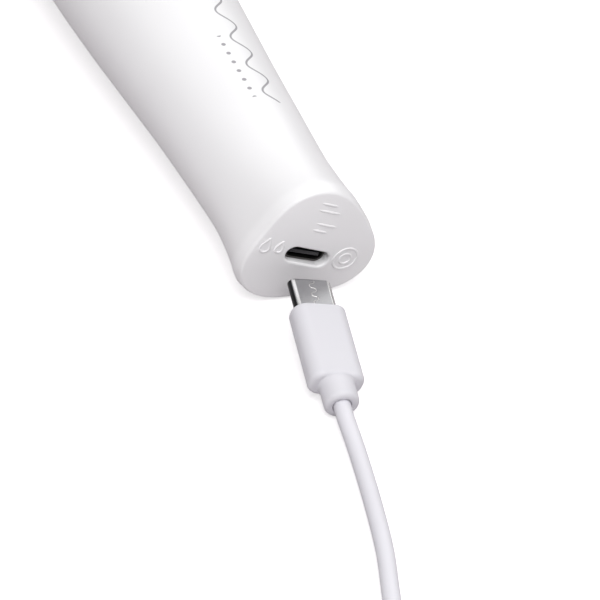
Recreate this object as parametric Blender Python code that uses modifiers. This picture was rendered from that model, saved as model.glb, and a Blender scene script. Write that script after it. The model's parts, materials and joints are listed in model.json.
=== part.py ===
"""Handheld wand massager lying on a table beside its charging lead.

A seamless three-lobed handle holds a rechargeable cell, a charging board with a USB-C socket and a
control board under three buttons. A flexible neck carries a soft round head with a motor that turns an
off-centre weight. The lead has a USB-C plug at the wand and a USB-A plug at its coiled far end.

Sizes are in metres. The wand's own frame has +Z along the wand from its base to its head and -Y up.
"""

import math

import bmesh
import bpy
from mathutils import Matrix, Vector

MM = 0.001
GAP = 0.3 * MM

# The wand lies along +Y, with its base rim's centre at the low end of the tilted axis.
WAND_TILT = math.radians(2.9)
WAND_ORIGIN = (0, -123.65 * MM, 11.97 * MM)
FRONT_TURN = math.radians(23)

HANDLE_PROFILE = (
    (0, 12.95), (1.5, 13.25), (4, 12.95), (9, 12.5), (16, 12.2), (30, 12.75), (43, 13.4),
    (57, 14.35), (73, 15.4), (90, 16.1), (112, 16.3), (130, 15.9), (145, 14.6), (154, 12.9), (158, 11.5),
)
HANDLE_SIDES = 36
HANDLE_WALL = 1.8 * MM
LOBE_DEPTH = 0.096
LOBE_FADE = 0.021
BASE_FILLET = 1.0 * MM
BASE_DOME = 0.9 * MM
FACE_SLOPE_X = -0.071
FACE_SLOPE_Y = 0.038
FACE_FADE = 0.014

PORT_WIDTH = 9.6 * MM
PORT_HEIGHT = 3.9 * MM
PORT_PLACE = (-0.4 * MM, 1.25 * MM, 0)
SOCKET_WIDTH = 8.94 * MM
SOCKET_HEIGHT = 3.26 * MM
SOCKET_WALL = 0.35 * MM
SOCKET_MOUTH = -1.1 * MM
SOCKET_LENGTH = 7.3 * MM

CELL_RADIUS = 9.1 * MM
CELL_START = 46 * MM
CELL_LENGTH = 50 * MM
CHASSIS_INNER = 9.5 * MM
CHASSIS_OUTER = 10.2 * MM

BOARD_FACE = 6.6 * MM
BOARD_THICKNESS = 1.2 * MM
BOARD_START = 101 * MM
BOARD_END = 149 * MM
SWITCH_TOP = 9.3 * MM
BUTTONS = {"power_button": (133 * MM, 5.0 * MM), "plus_button": (119.5 * MM, 4.2 * MM),
           "minus_button": (107 * MM, 4.2 * MM)}
BUTTON_TRAVEL = 0.8 * MM
BUTTON_RISE = 0.55 * MM
BUTTON_FLANGE = 1.1 * MM
SWITCH_HALF = 2.5 * MM
LED_PLACE = 144.5 * MM
LED_RADIUS = 1.2 * MM

SCREW_HEAD_RADIUS = 1.9 * MM
SCREW_HEAD_HEIGHT = 1.2 * MM
SCREW_HEAD_BEVEL = 0.4 * MM
SCREW_SHANK_RADIUS = 0.95 * MM
SCREW_HOLE_RADIUS = 1.3 * MM
TAB_THICKNESS = 0.4 * MM
BRACKET_WALL = 1.4 * MM
WIRE_RADIUS = 0.4 * MM

NECK_PIVOT = 170 * MM
BALL_RADIUS = 7.0 * MM
COLLAR_LIP_RADIUS = 12.0 * MM
COLLAR_BORE = 7.9 * MM
SLEEVE_RADIUS = 11.2 * MM
SLEEVE_START = 160.2 * MM
SLEEVE_END = 184 * MM

HEAD_START = 184.4 * MM
HEAD_END = 250 * MM
HEAD_RADIUS = 22 * MM
HEAD_SKIN = 2.2 * MM
HEAD_DOME = 15.5 * MM
HEAD_SHOULDER = 14 * MM
HEAD_NECK = 11.6 * MM
HEAD_MOUTH = 9.6 * MM
CORE_WALL = 1.5 * MM
CORE_SPLIT = 216 * MM
MOTOR_RADIUS = 12 * MM
MOTOR_START = 200 * MM
MOTOR_END = 228 * MM
CLAMP_LOW = 207 * MM
CLAMP_HIGH = 212 * MM
SHAFT_RADIUS = 1.15 * MM
WEIGHT_RADIUS = 9.5 * MM

PLUG_TIP = (-1.9 * MM, -128.8 * MM, 7.6 * MM)
PLUG_YAW = math.radians(12)
PLUG_PITCH = math.radians(8.5)
PLUG_ROLL = math.radians(-10)
PLUG_WIDTH = 8.25 * MM
PLUG_HEIGHT = 2.4 * MM
PLUG_REACH = 7.0 * MM
PLUG_WALL = 0.25 * MM
GRIP_WIDTH = 10.5 * MM
GRIP_HEIGHT = 5.9 * MM
GRIP_LENGTH = 17.4 * MM
COLLAR_RADIUS = 3.25 * MM
COLLAR_LENGTH = 4.6 * MM

CORD_RADIUS = 1.6 * MM
CORD_HEIGHT = 1.7 * MM
COIL_CENTRE = (-15 * MM, -250 * MM)
COIL_MEAN_RADIUS = 19.1 * MM
COIL_BUNDLE = 10.4 * MM
COIL_CHAMFER = 1.3 * MM
COIL_FLOOR = 0.9 * MM
TIE_WIDTH = 8 * MM
TIE_THICKNESS = 0.6 * MM
TIE_TURN = math.radians(20)

USB_A_PLACE = (-36.2 * MM, -271.8 * MM, 4.1 * MM)
USB_A_TURN = math.radians(6)
USB_A_GRIP = (15.6 * MM, 8.0 * MM, 21 * MM)
USB_A_SHELL = (12 * MM, 4.5 * MM, 14.5 * MM)
USB_A_WALL = 0.4 * MM


def clear_scene():
    for item in list(bpy.data.objects):
        bpy.data.objects.remove(item)


def new_collection(name, rendered=True):
    group = bpy.data.collections.new(name)
    bpy.context.scene.collection.children.link(group)
    group.hide_render = not rendered
    return group


def new_material(name, colour, roughness, metallic=0.0):
    material = bpy.data.materials.new(name)
    material.use_nodes = True
    shader = material.node_tree.nodes["Principled BSDF"]
    shader.inputs["Base Color"].default_value = (*colour, 1)
    shader.inputs["Roughness"].default_value = roughness
    shader.inputs["Metallic"].default_value = metallic
    material.diffuse_color = (*colour, 1)
    return material


def new_frame(name, location=(0, 0, 0), rotation=(0, 0, 0), parent=None):
    frame = bpy.data.objects.new(name, None)
    frame.empty_display_size = 0.01
    frame.location = location
    frame.rotation_euler = rotation
    frame.parent = parent
    parts.objects.link(frame)
    return frame


def new_piece(name, mesh, parent, material, smooth=True):
    piece = bpy.data.objects.new(name, mesh)
    piece.parent = parent
    parts.objects.link(piece)
    mesh.materials.append(material)
    if smooth:
        mesh.shade_smooth()
        mesh.set_sharp_from_angle(angle=math.radians(35))
    return piece


def box_mesh(name, low, high, radius=0.0, axis=None, segments=3):
    """A box between two corners, with the edges along one axis, or all edges, rounded."""
    low, high = Vector(low), Vector(high)
    shape = bmesh.new()
    bmesh.ops.create_cube(shape, size=1)
    bmesh.ops.scale(shape, vec=high - low, verts=shape.verts)
    bmesh.ops.translate(shape, vec=(low + high) / 2, verts=shape.verts)
    if radius:
        edges = [edge for edge in shape.edges if axis is None or runs_along(edge, axis)]
        bmesh.ops.bevel(shape, geom=edges, offset=radius, segments=segments, profile=0.5, affect="EDGES")
    return finished(shape, name)


def runs_along(edge, axis):
    run = edge.verts[1].co - edge.verts[0].co
    return abs(run[axis]) > 0.99 * run.length


def cylinder_mesh(name, radius, low, high, sides=24):
    """A closed cylinder along Z."""
    shape = bmesh.new()
    lift = Matrix.Translation((0, 0, (low + high) / 2))
    bmesh.ops.create_cone(shape, cap_ends=True, segments=sides, radius1=radius, radius2=radius,
                          depth=high - low, matrix=lift)
    return finished(shape, name)


def finished(shape, name):
    bmesh.ops.recalc_face_normals(shape, faces=shape.faces)
    mesh = bpy.data.meshes.new(name)
    shape.to_mesh(mesh)
    shape.free()
    return mesh


def turned(name, outline, parent, material, steps=28, closed=False):
    """A profile of (radius, height) points, listed down its outer side, turned about Z."""
    shape = bmesh.new()
    corners = [shape.verts.new((radius, 0, height)) for radius, height in outline]
    for first, second in zip(corners, corners[1:]):
        shape.edges.new((first, second))
    if closed:
        shape.edges.new((corners[-1], corners[0]))
    mesh = bpy.data.meshes.new(name)
    shape.to_mesh(mesh)
    shape.free()
    piece = new_piece(name, mesh, parent, material, smooth=False)
    screw = piece.modifiers.new("Turn", "SCREW")
    screw.steps = steps
    screw.render_steps = steps
    screw.use_merge_vertices = True
    screw.merge_threshold = 1e-6
    screw.use_smooth_shade = True
    return piece


def tube(name, points, radius, parent, material, resolution=2):
    """A round wire through the points, with closed ends."""
    curve = bpy.data.curves.new(name, "CURVE")
    curve.dimensions = "3D"
    curve.bevel_depth = radius
    curve.bevel_resolution = resolution
    curve.use_fill_caps = True
    spline = curve.splines.new("POLY")
    spline.points.add(len(points) - 1)
    for place, point in zip(spline.points, points):
        place.co = (*point, 1)
    piece = bpy.data.objects.new(name, curve)
    piece.parent = parent
    curve.materials.append(material)
    parts.objects.link(piece)
    return piece


def cut(piece, mesh, location=(0, 0, 0), rotation=(0, 0, 0), parent=None):
    """Cuts the mesh, placed in the parent's frame, out of the piece."""
    cutter = bpy.data.objects.new(f"{piece.name}_cut_{mesh.name}", mesh)
    cutter.location = location
    cutter.rotation_euler = rotation
    cutter.parent = parent or piece.parent
    cutter.hide_render = True
    cutter.display_type = "WIRE"
    cutters.objects.link(cutter)
    boolean = piece.modifiers.new(mesh.name, "BOOLEAN")
    boolean.operation = "DIFFERENCE"
    boolean.solver = "EXACT"
    boolean.object = cutter
    return cutter


def smooth_route(stations, spacing):
    """Points about one spacing apart on a Catmull-Rom curve through the stations."""
    stations = [Vector(station) for station in stations]
    ends = [2 * stations[0] - stations[1]] + stations + [2 * stations[-1] - stations[-2]]
    route = []
    for before, start, end, after in zip(ends, ends[1:], ends[2:], ends[3:]):
        count = max(1, round((end - start).length / spacing))
        for step in range(count):
            share = step / count
            slope_start, slope_end = (end - before) / 2, (after - start) / 2
            route.append(
                start * (1 + 2 * share) * (1 - share) ** 2 + slope_start * share * (1 - share) ** 2
                + end * share**2 * (3 - 2 * share) - slope_end * share**2 * (1 - share)
            )
    return route + [stations[-1]]


def handle_ring(shape, height, radius):
    """One lobed section of the handle. Near the base it leans with the sloping face."""
    lobe = LOBE_DEPTH * math.exp(-max(height, 0) / LOBE_FADE)
    lean = max(0.0, 1 - max(height, 0) / FACE_FADE)
    ring = []
    for side in range(HANDLE_SIDES):
        turn = 2 * math.pi * side / HANDLE_SIDES
        reach = radius * (1 + lobe * math.cos(3 * (turn - math.pi / 2)))
        x, y = reach * math.cos(turn), -reach * math.sin(turn)
        ring.append(shape.verts.new((x, y, height + lean * (FACE_SLOPE_X * x + FACE_SLOPE_Y * y))))
    return ring


def bridge(shape, first, second):
    for side in range(HANDLE_SIDES):
        after = (side + 1) % HANDLE_SIDES
        shape.faces.new((first[side], first[after], second[after], second[side]))


def close_at(shape, ring, pole):
    tip = shape.verts.new((0, 0, pole))
    for side in range(HANDLE_SIDES):
        shape.faces.new((ring[side], ring[(side + 1) % HANDLE_SIDES], tip))


def handle_mesh():
    """The seamless handle: one closed surface, up its outside, over the mouth and down its inside."""
    shape = bmesh.new()
    profile = [(height * MM, radius * MM) for height, radius in HANDLE_PROFILE]
    crown = profile[0][1] - BASE_FILLET
    outside = [(-BASE_FILLET - BASE_DOME * (1 - share**2), crown * share) for share in (0.45, 0.8, 1)]
    for step in (30, 60):
        bend = math.radians(step)
        outside.append((-BASE_FILLET * math.cos(bend), crown + BASE_FILLET * math.sin(bend)))
    outside += profile
    inside = [(profile[-1][0], profile[-1][1] - HANDLE_WALL)]
    inside += [(height, radius - HANDLE_WALL) for height, radius in reversed(profile[2:-1])]
    inside.append((1.2 * MM, profile[0][1] - 1.6 * HANDLE_WALL))
    rings = [handle_ring(shape, height, radius) for height, radius in outside + inside]
    for first, second in zip(rings, rings[1:]):
        bridge(shape, first, second)
    close_at(shape, rings[0], -BASE_FILLET - BASE_DOME)
    close_at(shape, rings[-1], 0.4 * MM)
    return finished(shape, "handle_shell")


def make_handle():
    shell = new_piece("handle_shell", handle_mesh(), wand, white_plastic)
    port = box_mesh("port", (-PORT_WIDTH / 2, -PORT_HEIGHT / 2, -0.004),
                    (PORT_WIDTH / 2, PORT_HEIGHT / 2, 0.003), 0.49 * PORT_HEIGHT, axis=2)
    cut(shell, port, parent=port_frame)
    for name, (place, radius) in BUTTONS.items():
        cut(shell, cylinder_mesh(f"{name}_hole", radius + 0.35 * MM, 0.006, 0.022, 20),
            (0, 0, place), (math.pi / 2, 0, 0), front)
    cut(shell, cylinder_mesh("led_hole", LED_RADIUS + GAP, 0.006, 0.022, 12),
        (0, 0, LED_PLACE), (math.pi / 2, 0, 0), front)


def make_socket():
    """The USB-C socket: a steel shell round a contact tongue, on the small charging board."""
    wide, high = SOCKET_WIDTH / 2, SOCKET_HEIGHT / 2
    back = SOCKET_MOUTH + SOCKET_LENGTH
    mesh = box_mesh("usb_c_socket", (-wide, -high, SOCKET_MOUTH), (wide, high, back), 0.48 * SOCKET_HEIGHT,
                    axis=2)
    shell = new_piece("usb_c_socket", mesh, port_frame, steel)
    wide, high = wide - SOCKET_WALL, high - SOCKET_WALL
    mouth = box_mesh("mouth", (-wide, -high, SOCKET_MOUTH - MM), (wide, high, back + MM), 0.96 * high, axis=2)
    cut(shell, mouth)
    root = back - 1.8 * MM
    wide, high = 3.35 * MM, 0.35 * MM
    tongue = box_mesh("usb_c_tongue", (-wide, -high, SOCKET_MOUTH + 0.9 * MM), (wide, high, root))
    wide, high = 3.5 * MM, 0.95 * MM
    base = box_mesh("tongue_base", (-wide, -high, root - 0.2 * MM), (wide, high, back))
    join(new_piece("usb_c_tongue", tongue, port_frame, black_plastic), base)


def make_charge_board():
    """The small board under the socket carries the charging chip, and two screws hold it."""
    top, half, start, end = SOCKET_HEIGHT / 2 + GAP, 7 * MM, 2.2 * MM, 24 * MM
    board = box_mesh("charge_board", (-half, top, start), (half, top + 1.0 * MM, end))
    board = new_piece("charge_board", board, port_frame, green_board, smooth=False)
    for number, side in ((1, -1), (2, 1)):
        place = (side * 4.6 * MM, 0, end - 4 * MM)
        hole = cylinder_mesh(f"screw_{number}", SCREW_HOLE_RADIUS, 0, 0.01, 12)
        cut(board, hole, place, (-math.pi / 2, 0, 0))
        make_screw(f"charge_board_screw_{number}", place, top, 4.4 * MM, port_frame)
    low, high = (-2 * MM, top - 1.4 * MM, 11 * MM), (2 * MM, top - GAP, 15 * MM)
    new_piece("charge_chip", box_mesh("charge_chip", low, high), port_frame, black_plastic, smooth=False)


def join(piece, mesh):
    """Adds the mesh to the piece as one solid."""
    other = bpy.data.objects.new(f"{piece.name}_{mesh.name}", mesh)
    other.parent = piece.parent
    other.hide_render = True
    other.display_type = "WIRE"
    cutters.objects.link(other)
    boolean = piece.modifiers.new(mesh.name, "BOOLEAN")
    boolean.operation = "UNION"
    boolean.solver = "EXACT"
    boolean.object = other


def screw_outline(length, lift=0.0):
    """A pan head that starts that far above zero, on a plain shank."""
    top, flat = lift + SCREW_HEAD_HEIGHT, SCREW_HEAD_RADIUS - SCREW_HEAD_BEVEL
    return [(0, top), (flat, top), (SCREW_HEAD_RADIUS, top - SCREW_HEAD_BEVEL), (SCREW_HEAD_RADIUS, lift),
            (SCREW_SHANK_RADIUS, lift), (SCREW_SHANK_RADIUS, -length), (0, -length)]


def make_screw(name, place, face, length, parent):
    """A screw along Y, with its head on the -Y side of the face at that depth."""
    screw = turned(name, screw_outline(length, GAP), parent, steel, steps=12)
    screw.location = (place[0], face, place[2])
    screw.rotation_euler = (math.pi / 2, 0, 0)


def make_chassis():
    """Two half-round trays hold the cell. The rear one runs on to carry the control board."""
    front_end, rear_end = CELL_START + CELL_LENGTH + 2.2 * MM, BOARD_END - 3 * MM
    start = CELL_START - 3 * MM
    reach = 2 * CHASSIS_OUTER
    for name, end, side in (("chassis_front", front_end, -1), ("chassis_rear", rear_end, 1)):
        ring = [(CHASSIS_OUTER, end), (CHASSIS_OUTER, start), (CHASSIS_INNER, start), (CHASSIS_INNER, end)]
        tray = turned(name, ring, front, grey_plastic, steps=24, closed=True)
        low, high = sorted((-side * reach, side * GAP / 2))
        cut(tray, box_mesh("other_half", (-reach, low, start - MM), (reach, high, end + MM)))


def make_cell():
    """A round lithium cell with a nickel tab welded on each end."""
    top, button, edge = CELL_START + CELL_LENGTH, 3 * MM, 0.6 * MM
    shoulder = top - 0.8 * MM
    outline = [(0, top), (button, top), (button, shoulder), (CELL_RADIUS - edge, shoulder),
               (CELL_RADIUS, shoulder - edge), (CELL_RADIUS, CELL_START + edge),
               (CELL_RADIUS - edge, CELL_START), (0, CELL_START)]
    turned("battery_cell", outline, front, blue_wrap)
    lows = {"battery_tab_positive": top + GAP, "battery_tab_negative": CELL_START - GAP - TAB_THICKNESS}
    for name, low in lows.items():
        tab = box_mesh(name, (-2 * MM, -6 * MM, low), (2 * MM, 6 * MM, low + TAB_THICKNESS))
        new_piece(name, tab, front, steel, smooth=False)


def make_control_board():
    """The board under the buttons stands on a square-tube bracket, with a switch under each button."""
    face, back, half = -BOARD_FACE, -BOARD_FACE + BOARD_THICKNESS, 8.5 * MM
    mesh = box_mesh("control_board", (-half, face, BOARD_START), (half, back, BOARD_END))
    board = new_piece("control_board", mesh, front, green_board, smooth=False)
    half = 7 * MM
    low, high = (-half, back + GAP, BOARD_START + MM), (half, -GAP, BOARD_END - 4 * MM)
    mesh = box_mesh("board_bracket", low, high)
    bracket = new_piece("board_bracket", mesh, front, grey_plastic, smooth=False)
    half -= BRACKET_WALL
    low = (-half, low[1] + BRACKET_WALL, low[2] - MM)
    high = (half, high[1] - BRACKET_WALL, high[2] + MM)
    cut(bracket, box_mesh("hollow", low, high))
    screws = ((6.2 * MM, 0, BOARD_START + 2.6 * MM), (-6.2 * MM, 0, BOARD_END - 7 * MM))
    for number, place in enumerate(screws, 1):
        for drilled in (board, bracket):
            hole = cylinder_mesh(f"screw_{number}", SCREW_HOLE_RADIUS, 0, 0.01, 12)
            cut(drilled, hole, place, (math.pi / 2, 0, 0))
        make_screw(f"board_screw_{number}", place, face, 4.6 * MM, front)
    for name, (place, _) in BUTTONS.items():
        make_switch(name.replace("button", "switch"), place, face)
    make_light(face - GAP)


def make_light(face):
    """The status LED on the board, and the clear pipe that brings its light to the surface."""
    wide, high = 1.0 * MM, 0.8 * MM
    led = box_mesh("status_led", (-wide, face - 0.9 * MM, LED_PLACE - high), (wide, face, LED_PLACE + high))
    new_piece("status_led", led, front, clear_plastic, smooth=False)
    window = cylinder_mesh("led_window", LED_RADIUS, 8.4 * MM, handle_radius(LED_PLACE) + 0.1 * MM, 16)
    window = new_piece("led_window", window, front, clear_plastic)
    window.location = (0, 0, LED_PLACE)
    window.rotation_euler = (math.pi / 2, 0, 0)


def make_switch(name, place, face):
    """A switch with its plunger towards the button."""
    low = (-SWITCH_HALF, face - GAP - 1.8 * MM, place - SWITCH_HALF)
    high = (SWITCH_HALF, face - GAP, place + SWITCH_HALF)
    switch = new_piece(name, box_mesh(name, low, high), front, black_plastic, smooth=False)
    plunger = cylinder_mesh("plunger", 1.2 * MM, BOARD_FACE + 1.5 * MM, SWITCH_TOP, 12)
    plunger.transform(Matrix.Translation((0, 0, place)) @ Matrix.Rotation(math.pi / 2, 4, "X"))
    join(switch, plunger)


def make_buttons():
    """Each button is a cap through the handle's wall, a flange that keeps it in and a stem to its switch."""
    for name, (place, radius) in BUTTONS.items():
        wall = handle_radius(place)
        crown, edge = wall + BUTTON_RISE, radius + BUTTON_FLANGE
        flange = math.sqrt((wall - HANDLE_WALL) ** 2 - edge**2) - 0.45 * MM
        under, stem, foot = flange - 0.9 * MM, 1.5 * MM, SWITCH_TOP + BUTTON_TRAVEL + GAP
        outline = [(0, crown), (radius * 0.6, crown - 0.12 * MM), (radius - 0.4 * MM, crown - 0.4 * MM),
                   (radius, crown - 0.9 * MM), (radius, flange), (edge, flange), (edge, under), (stem, under),
                   (stem, foot), (0, foot)]
        button = turned(name, outline, front, grey_silicone, steps=24)
        button.location = (0, 0, place)
        button.rotation_euler = (math.pi / 2, 0, 0)


def handle_radius(height):
    """The handle's outer radius, between two points of its profile."""
    for (low, small), (high, large) in zip(HANDLE_PROFILE, HANDLE_PROFILE[1:]):
        if low * MM <= height <= high * MM:
            return (small + (large - small) * (height / MM - low) / (high - low)) * MM
    raise ValueError("that height is off the handle")


def arc(radius, start, end, step):
    """Points of the (radius, height) plane on a circle about the pivot, with its angles in degrees."""
    turns = [math.radians(turn) for turn in range(start, end, step)]
    return [(radius * math.cos(turn), NECK_PIVOT + radius * math.sin(turn)) for turn in turns]


def make_neck():
    """A collar closes the handle's mouth and holds a socket. The head turns in it on a ball."""
    mouth = HANDLE_PROFILE[-1][0] * MM
    fit = HANDLE_PROFILE[-1][1] * MM - HANDLE_WALL - GAP
    top, foot = mouth + 1.8 * MM, mouth - 3.0 * MM
    collar = [(COLLAR_LIP_RADIUS, top), (COLLAR_LIP_RADIUS, mouth + GAP), (fit, mouth + GAP), (fit, foot),
              (COLLAR_BORE, foot), (COLLAR_BORE, top)]
    turned("neck_collar", collar, wand, chrome, closed=True)
    cup = arc(BALL_RADIUS + GAP, -60, 31, 15)
    brim, neck, foot = 9.4 * MM, COLLAR_BORE - GAP, mouth - 5 * MM
    socket = [(brim, cup[-1][1]), (brim, top + GAP), (neck, top + GAP), (neck, foot), (cup[0][0], foot)]
    turned("neck_socket", socket + cup, wand, grey_plastic, closed=True)
    ball = arc(BALL_RADIUS, 60, -61, -15)
    top, foot = HEAD_START + 4.6 * MM, HEAD_START + 2.2 * MM
    bore, stem, flange = 2.6 * MM, 3.9 * MM, 8 * MM
    outline = [(bore, top), (flange, top), (flange, foot), (stem, foot), (stem, ball[0][1])]
    turned("neck_ball", outline + ball[1:] + [(bore, ball[-1][1])], wand, grey_plastic, closed=True)
    waist, bore = SLEEVE_RADIUS - 0.9 * MM, 9.8 * MM
    sleeve = [(SLEEVE_RADIUS, SLEEVE_END), (waist, (SLEEVE_START + SLEEVE_END) / 2),
              (SLEEVE_RADIUS, SLEEVE_START), (bore, SLEEVE_START), (bore, SLEEVE_END)]
    turned("neck_sleeve", sleeve, wand, white_silicone, closed=True)


def head_outline(inset):
    """The head's turned profile, from its crown down to its neck, moved in by the inset."""
    radius, crown, shoulder = HEAD_RADIUS - inset, HEAD_END - inset, HEAD_SHOULDER - inset
    outline = []
    for step in range(0, 91, 15):
        bend = math.radians(step)
        outline.append((radius * math.sin(bend) ** 0.85, crown - HEAD_DOME + HEAD_DOME * math.cos(bend)))
    low = HEAD_START + inset
    for step in range(0, 91, 18):
        bend = math.radians(step)
        pull = (radius - HEAD_NECK) * (1 - math.cos(bend))
        outline.append((radius - pull, low + shoulder * (1 - math.sin(bend))))
    return outline


def make_head():
    """A soft skin over two hard cups."""
    outer, inner = head_outline(0), head_outline(HEAD_SKIN)
    mouth = [(HEAD_MOUTH, outer[-1][1]), (HEAD_MOUTH, inner[-1][1])]
    turned("head_skin", outer + mouth + inner[::-1], wand, white_silicone, steps=32)
    clear = HEAD_SKIN + GAP
    cup, hollow = head_outline(clear), head_outline(clear + CORE_WALL)
    high = [point for point in cup if point[1] > CORE_SPLIT + MM]
    high_hollow = [point for point in hollow if point[1] > CORE_SPLIT + MM]
    rim, inner_rim = high[-1][0], high_hollow[-1][0]
    split = CORE_SPLIT + GAP / 2
    outline = high + [(rim, split), (inner_rim, split)] + high_hollow[::-1]
    turned("head_core_upper", outline, wand, grey_plastic, steps=28)
    low = [point for point in cup if point[1] < CORE_SPLIT - MM]
    low_hollow = [point for point in hollow if point[1] < CORE_SPLIT - MM]
    split, bore = CORE_SPLIT - GAP / 2, 9.0 * MM
    outline = [(rim, split)] + low + [(bore, low[-1][1]), (bore, low_hollow[-1][1])] + low_hollow[::-1]
    turned("head_core_lower", outline + [(inner_rim, split)], wand, grey_plastic, steps=28, closed=True)


def make_motor():
    """The motor is clamped in the lower cup. Its shaft turns a half-round weight."""
    edge, bore = 0.8 * MM, 1.6 * MM
    can = [(MOTOR_RADIUS - edge, MOTOR_END), (MOTOR_RADIUS, MOTOR_END - edge), (MOTOR_RADIUS, MOTOR_START),
           (bore, MOTOR_START), (bore, MOTOR_END)]
    turned("motor_can", can, wand, steel, closed=True)
    rim, bore, top, foot = MOTOR_RADIUS - 0.5 * MM, 5 * MM, MOTOR_START - GAP, MOTOR_START - 3 * MM
    bell = [(rim, top), (rim, foot), (bore, foot), (bore, top)]
    turned("motor_end_cap", bell, wand, black_plastic, steps=24, closed=True)
    rim, bore = HEAD_RADIUS - HEAD_SKIN - 2.5 * MM, MOTOR_RADIUS + GAP
    clamp = [(rim, CLAMP_HIGH), (rim, CLAMP_LOW), (bore, CLAMP_LOW), (bore, CLAMP_HIGH)]
    ring = turned("motor_clamp", clamp, wand, grey_plastic, closed=True)
    for number, side in ((1, -1), (2, 1)):
        across = side * (rim + bore) / 2
        hole = cylinder_mesh(f"screw_{number}", SCREW_HOLE_RADIUS, CLAMP_LOW - MM, CLAMP_HIGH + MM, 12)
        cut(ring, hole, (across, 0, 0))
        screw = turned(f"clamp_screw_{number}", screw_outline(7 * MM), wand, steel, steps=12)
        screw.location = (across, 0, CLAMP_HIGH + GAP)
    shaft = cylinder_mesh("motor_shaft", SHAFT_RADIUS, MOTOR_END - 9 * MM, MOTOR_END + 13.5 * MM, 14)
    new_piece("motor_shaft", shaft, wand, steel)
    low, high, reach = MOTOR_END + 2 * MM, MOTOR_END + 11 * MM, 2 * WEIGHT_RADIUS
    weight = cylinder_mesh("off_centre_weight", WEIGHT_RADIUS, low, high, 32)
    weight = new_piece("off_centre_weight", weight, wand, brass)
    cut(weight, box_mesh("half", (-reach, -reach, low - MM), (reach, -2.6 * MM, high + MM)))
    cut(weight, cylinder_mesh("bore", SHAFT_RADIUS + GAP, low - MM, high + MM, 14))


def make_wires():
    """Thin leads from the charging board to the control board, and from there to the motor.

    Those to the motor part at the neck's pivot.
    """
    for name, side, material in (("red", 1, red_wire), ("black", -1, black_wire)):
        edge = side * (CHASSIS_OUTER + 0.55 * MM)
        charge = [(side * 5.4 * MM, 5.4 * MM, 23 * MM), (side * 6.5 * MM, 5.0 * MM, 30 * MM),
                  (edge, 0, 41 * MM), (edge, 0, 70 * MM), (edge, 0, 98 * MM),
                  (side * 10.5 * MM, -4.6 * MM, 104 * MM), (side * 9.2 * MM, -6.2 * MM, 107 * MM)]
        tube(f"charge_lead_{name}", smooth_route(charge, 4.5 * MM), WIRE_RADIUS, front, material, 1)
        low = [(side * 3.5 * MM, -7.45 * MM, 146 * MM), (side * 3.2 * MM, -7.3 * MM, 149.6 * MM),
               (side * 2.0 * MM, -3.2 * MM, 151.5 * MM), (side * 1.0 * MM, -0.6 * MM, 154.5 * MM),
               (side * 0.7 * MM, 0, 160 * MM), (side * 0.7 * MM, 0, NECK_PIVOT - 3 * MM)]
        tube(f"motor_lead_{name}_handle", smooth_route(low, 2.5 * MM), WIRE_RADIUS, front, material, 1)
        high = [(side * 0.9 * MM, 0, NECK_PIVOT + 1.4 * MM), (side * 0.9 * MM, 0, 186 * MM),
                (side * 1.6 * MM, 0, 192 * MM), (side * 3.4 * MM, 0, 196.5 * MM)]
        tube(f"motor_lead_{name}_head", smooth_route(high, 3 * MM), WIRE_RADIUS, front, material, 1)


def make_plug():
    """The USB-C plug: a steel shell with its insert, a moulded grip and a round collar.

    Its frame's +Z runs to the cord. It returns how far along that the cord starts.
    """
    wide, high = PLUG_WIDTH / 2, PLUG_HEIGHT / 2
    mesh = box_mesh("plug_shell", (-wide, -high, 0), (wide, high, PLUG_REACH), 0.98 * high, axis=2,
                    segments=4)
    shell = new_piece("plug_shell", mesh, plug, chrome)
    wide, high = wide - PLUG_WALL, high - PLUG_WALL
    hollow = box_mesh("hollow", (-wide, -high, -MM), (wide, high, PLUG_REACH + MM), 0.97 * high, axis=2,
                      segments=4)
    cut(shell, hollow)
    wide, high = wide - PLUG_WALL, high - PLUG_WALL
    mesh = box_mesh("plug_insert", (-wide, -high, 0.9 * MM), (wide, high, PLUG_REACH), 0.5 * high, axis=2,
                    segments=2)
    insert = new_piece("plug_insert", mesh, plug, black_plastic)
    wide, high = 3.1 * MM, 0.35 * MM
    cut(insert, box_mesh("slot", (-wide, -high, 0), (wide, high, 5.4 * MM)))
    start = PLUG_REACH + GAP
    end = start + GRIP_LENGTH
    wide, high = GRIP_WIDTH / 2, GRIP_HEIGHT / 2
    mesh = box_mesh("plug_grip", (-wide, -high, start), (wide, high, end), 0.84 * high, axis=2, segments=5)
    soften(new_piece("plug_grip", mesh, plug, white_silicone), 0.5 * MM)
    start = end + GAP
    collar = cylinder_mesh("plug_collar", COLLAR_RADIUS, start, start + COLLAR_LENGTH, 24)
    soften(new_piece("plug_collar", collar, plug, white_silicone), 0.6 * MM)
    return start + COLLAR_LENGTH + GAP


def soften(piece, width):
    """Rounds the piece's sharp edges."""
    bevel = piece.modifiers.new("Soften", "BEVEL")
    bevel.width = width
    bevel.segments = 2
    bevel.limit_method = "ANGLE"
    bevel.angle_limit = math.radians(60)


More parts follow.
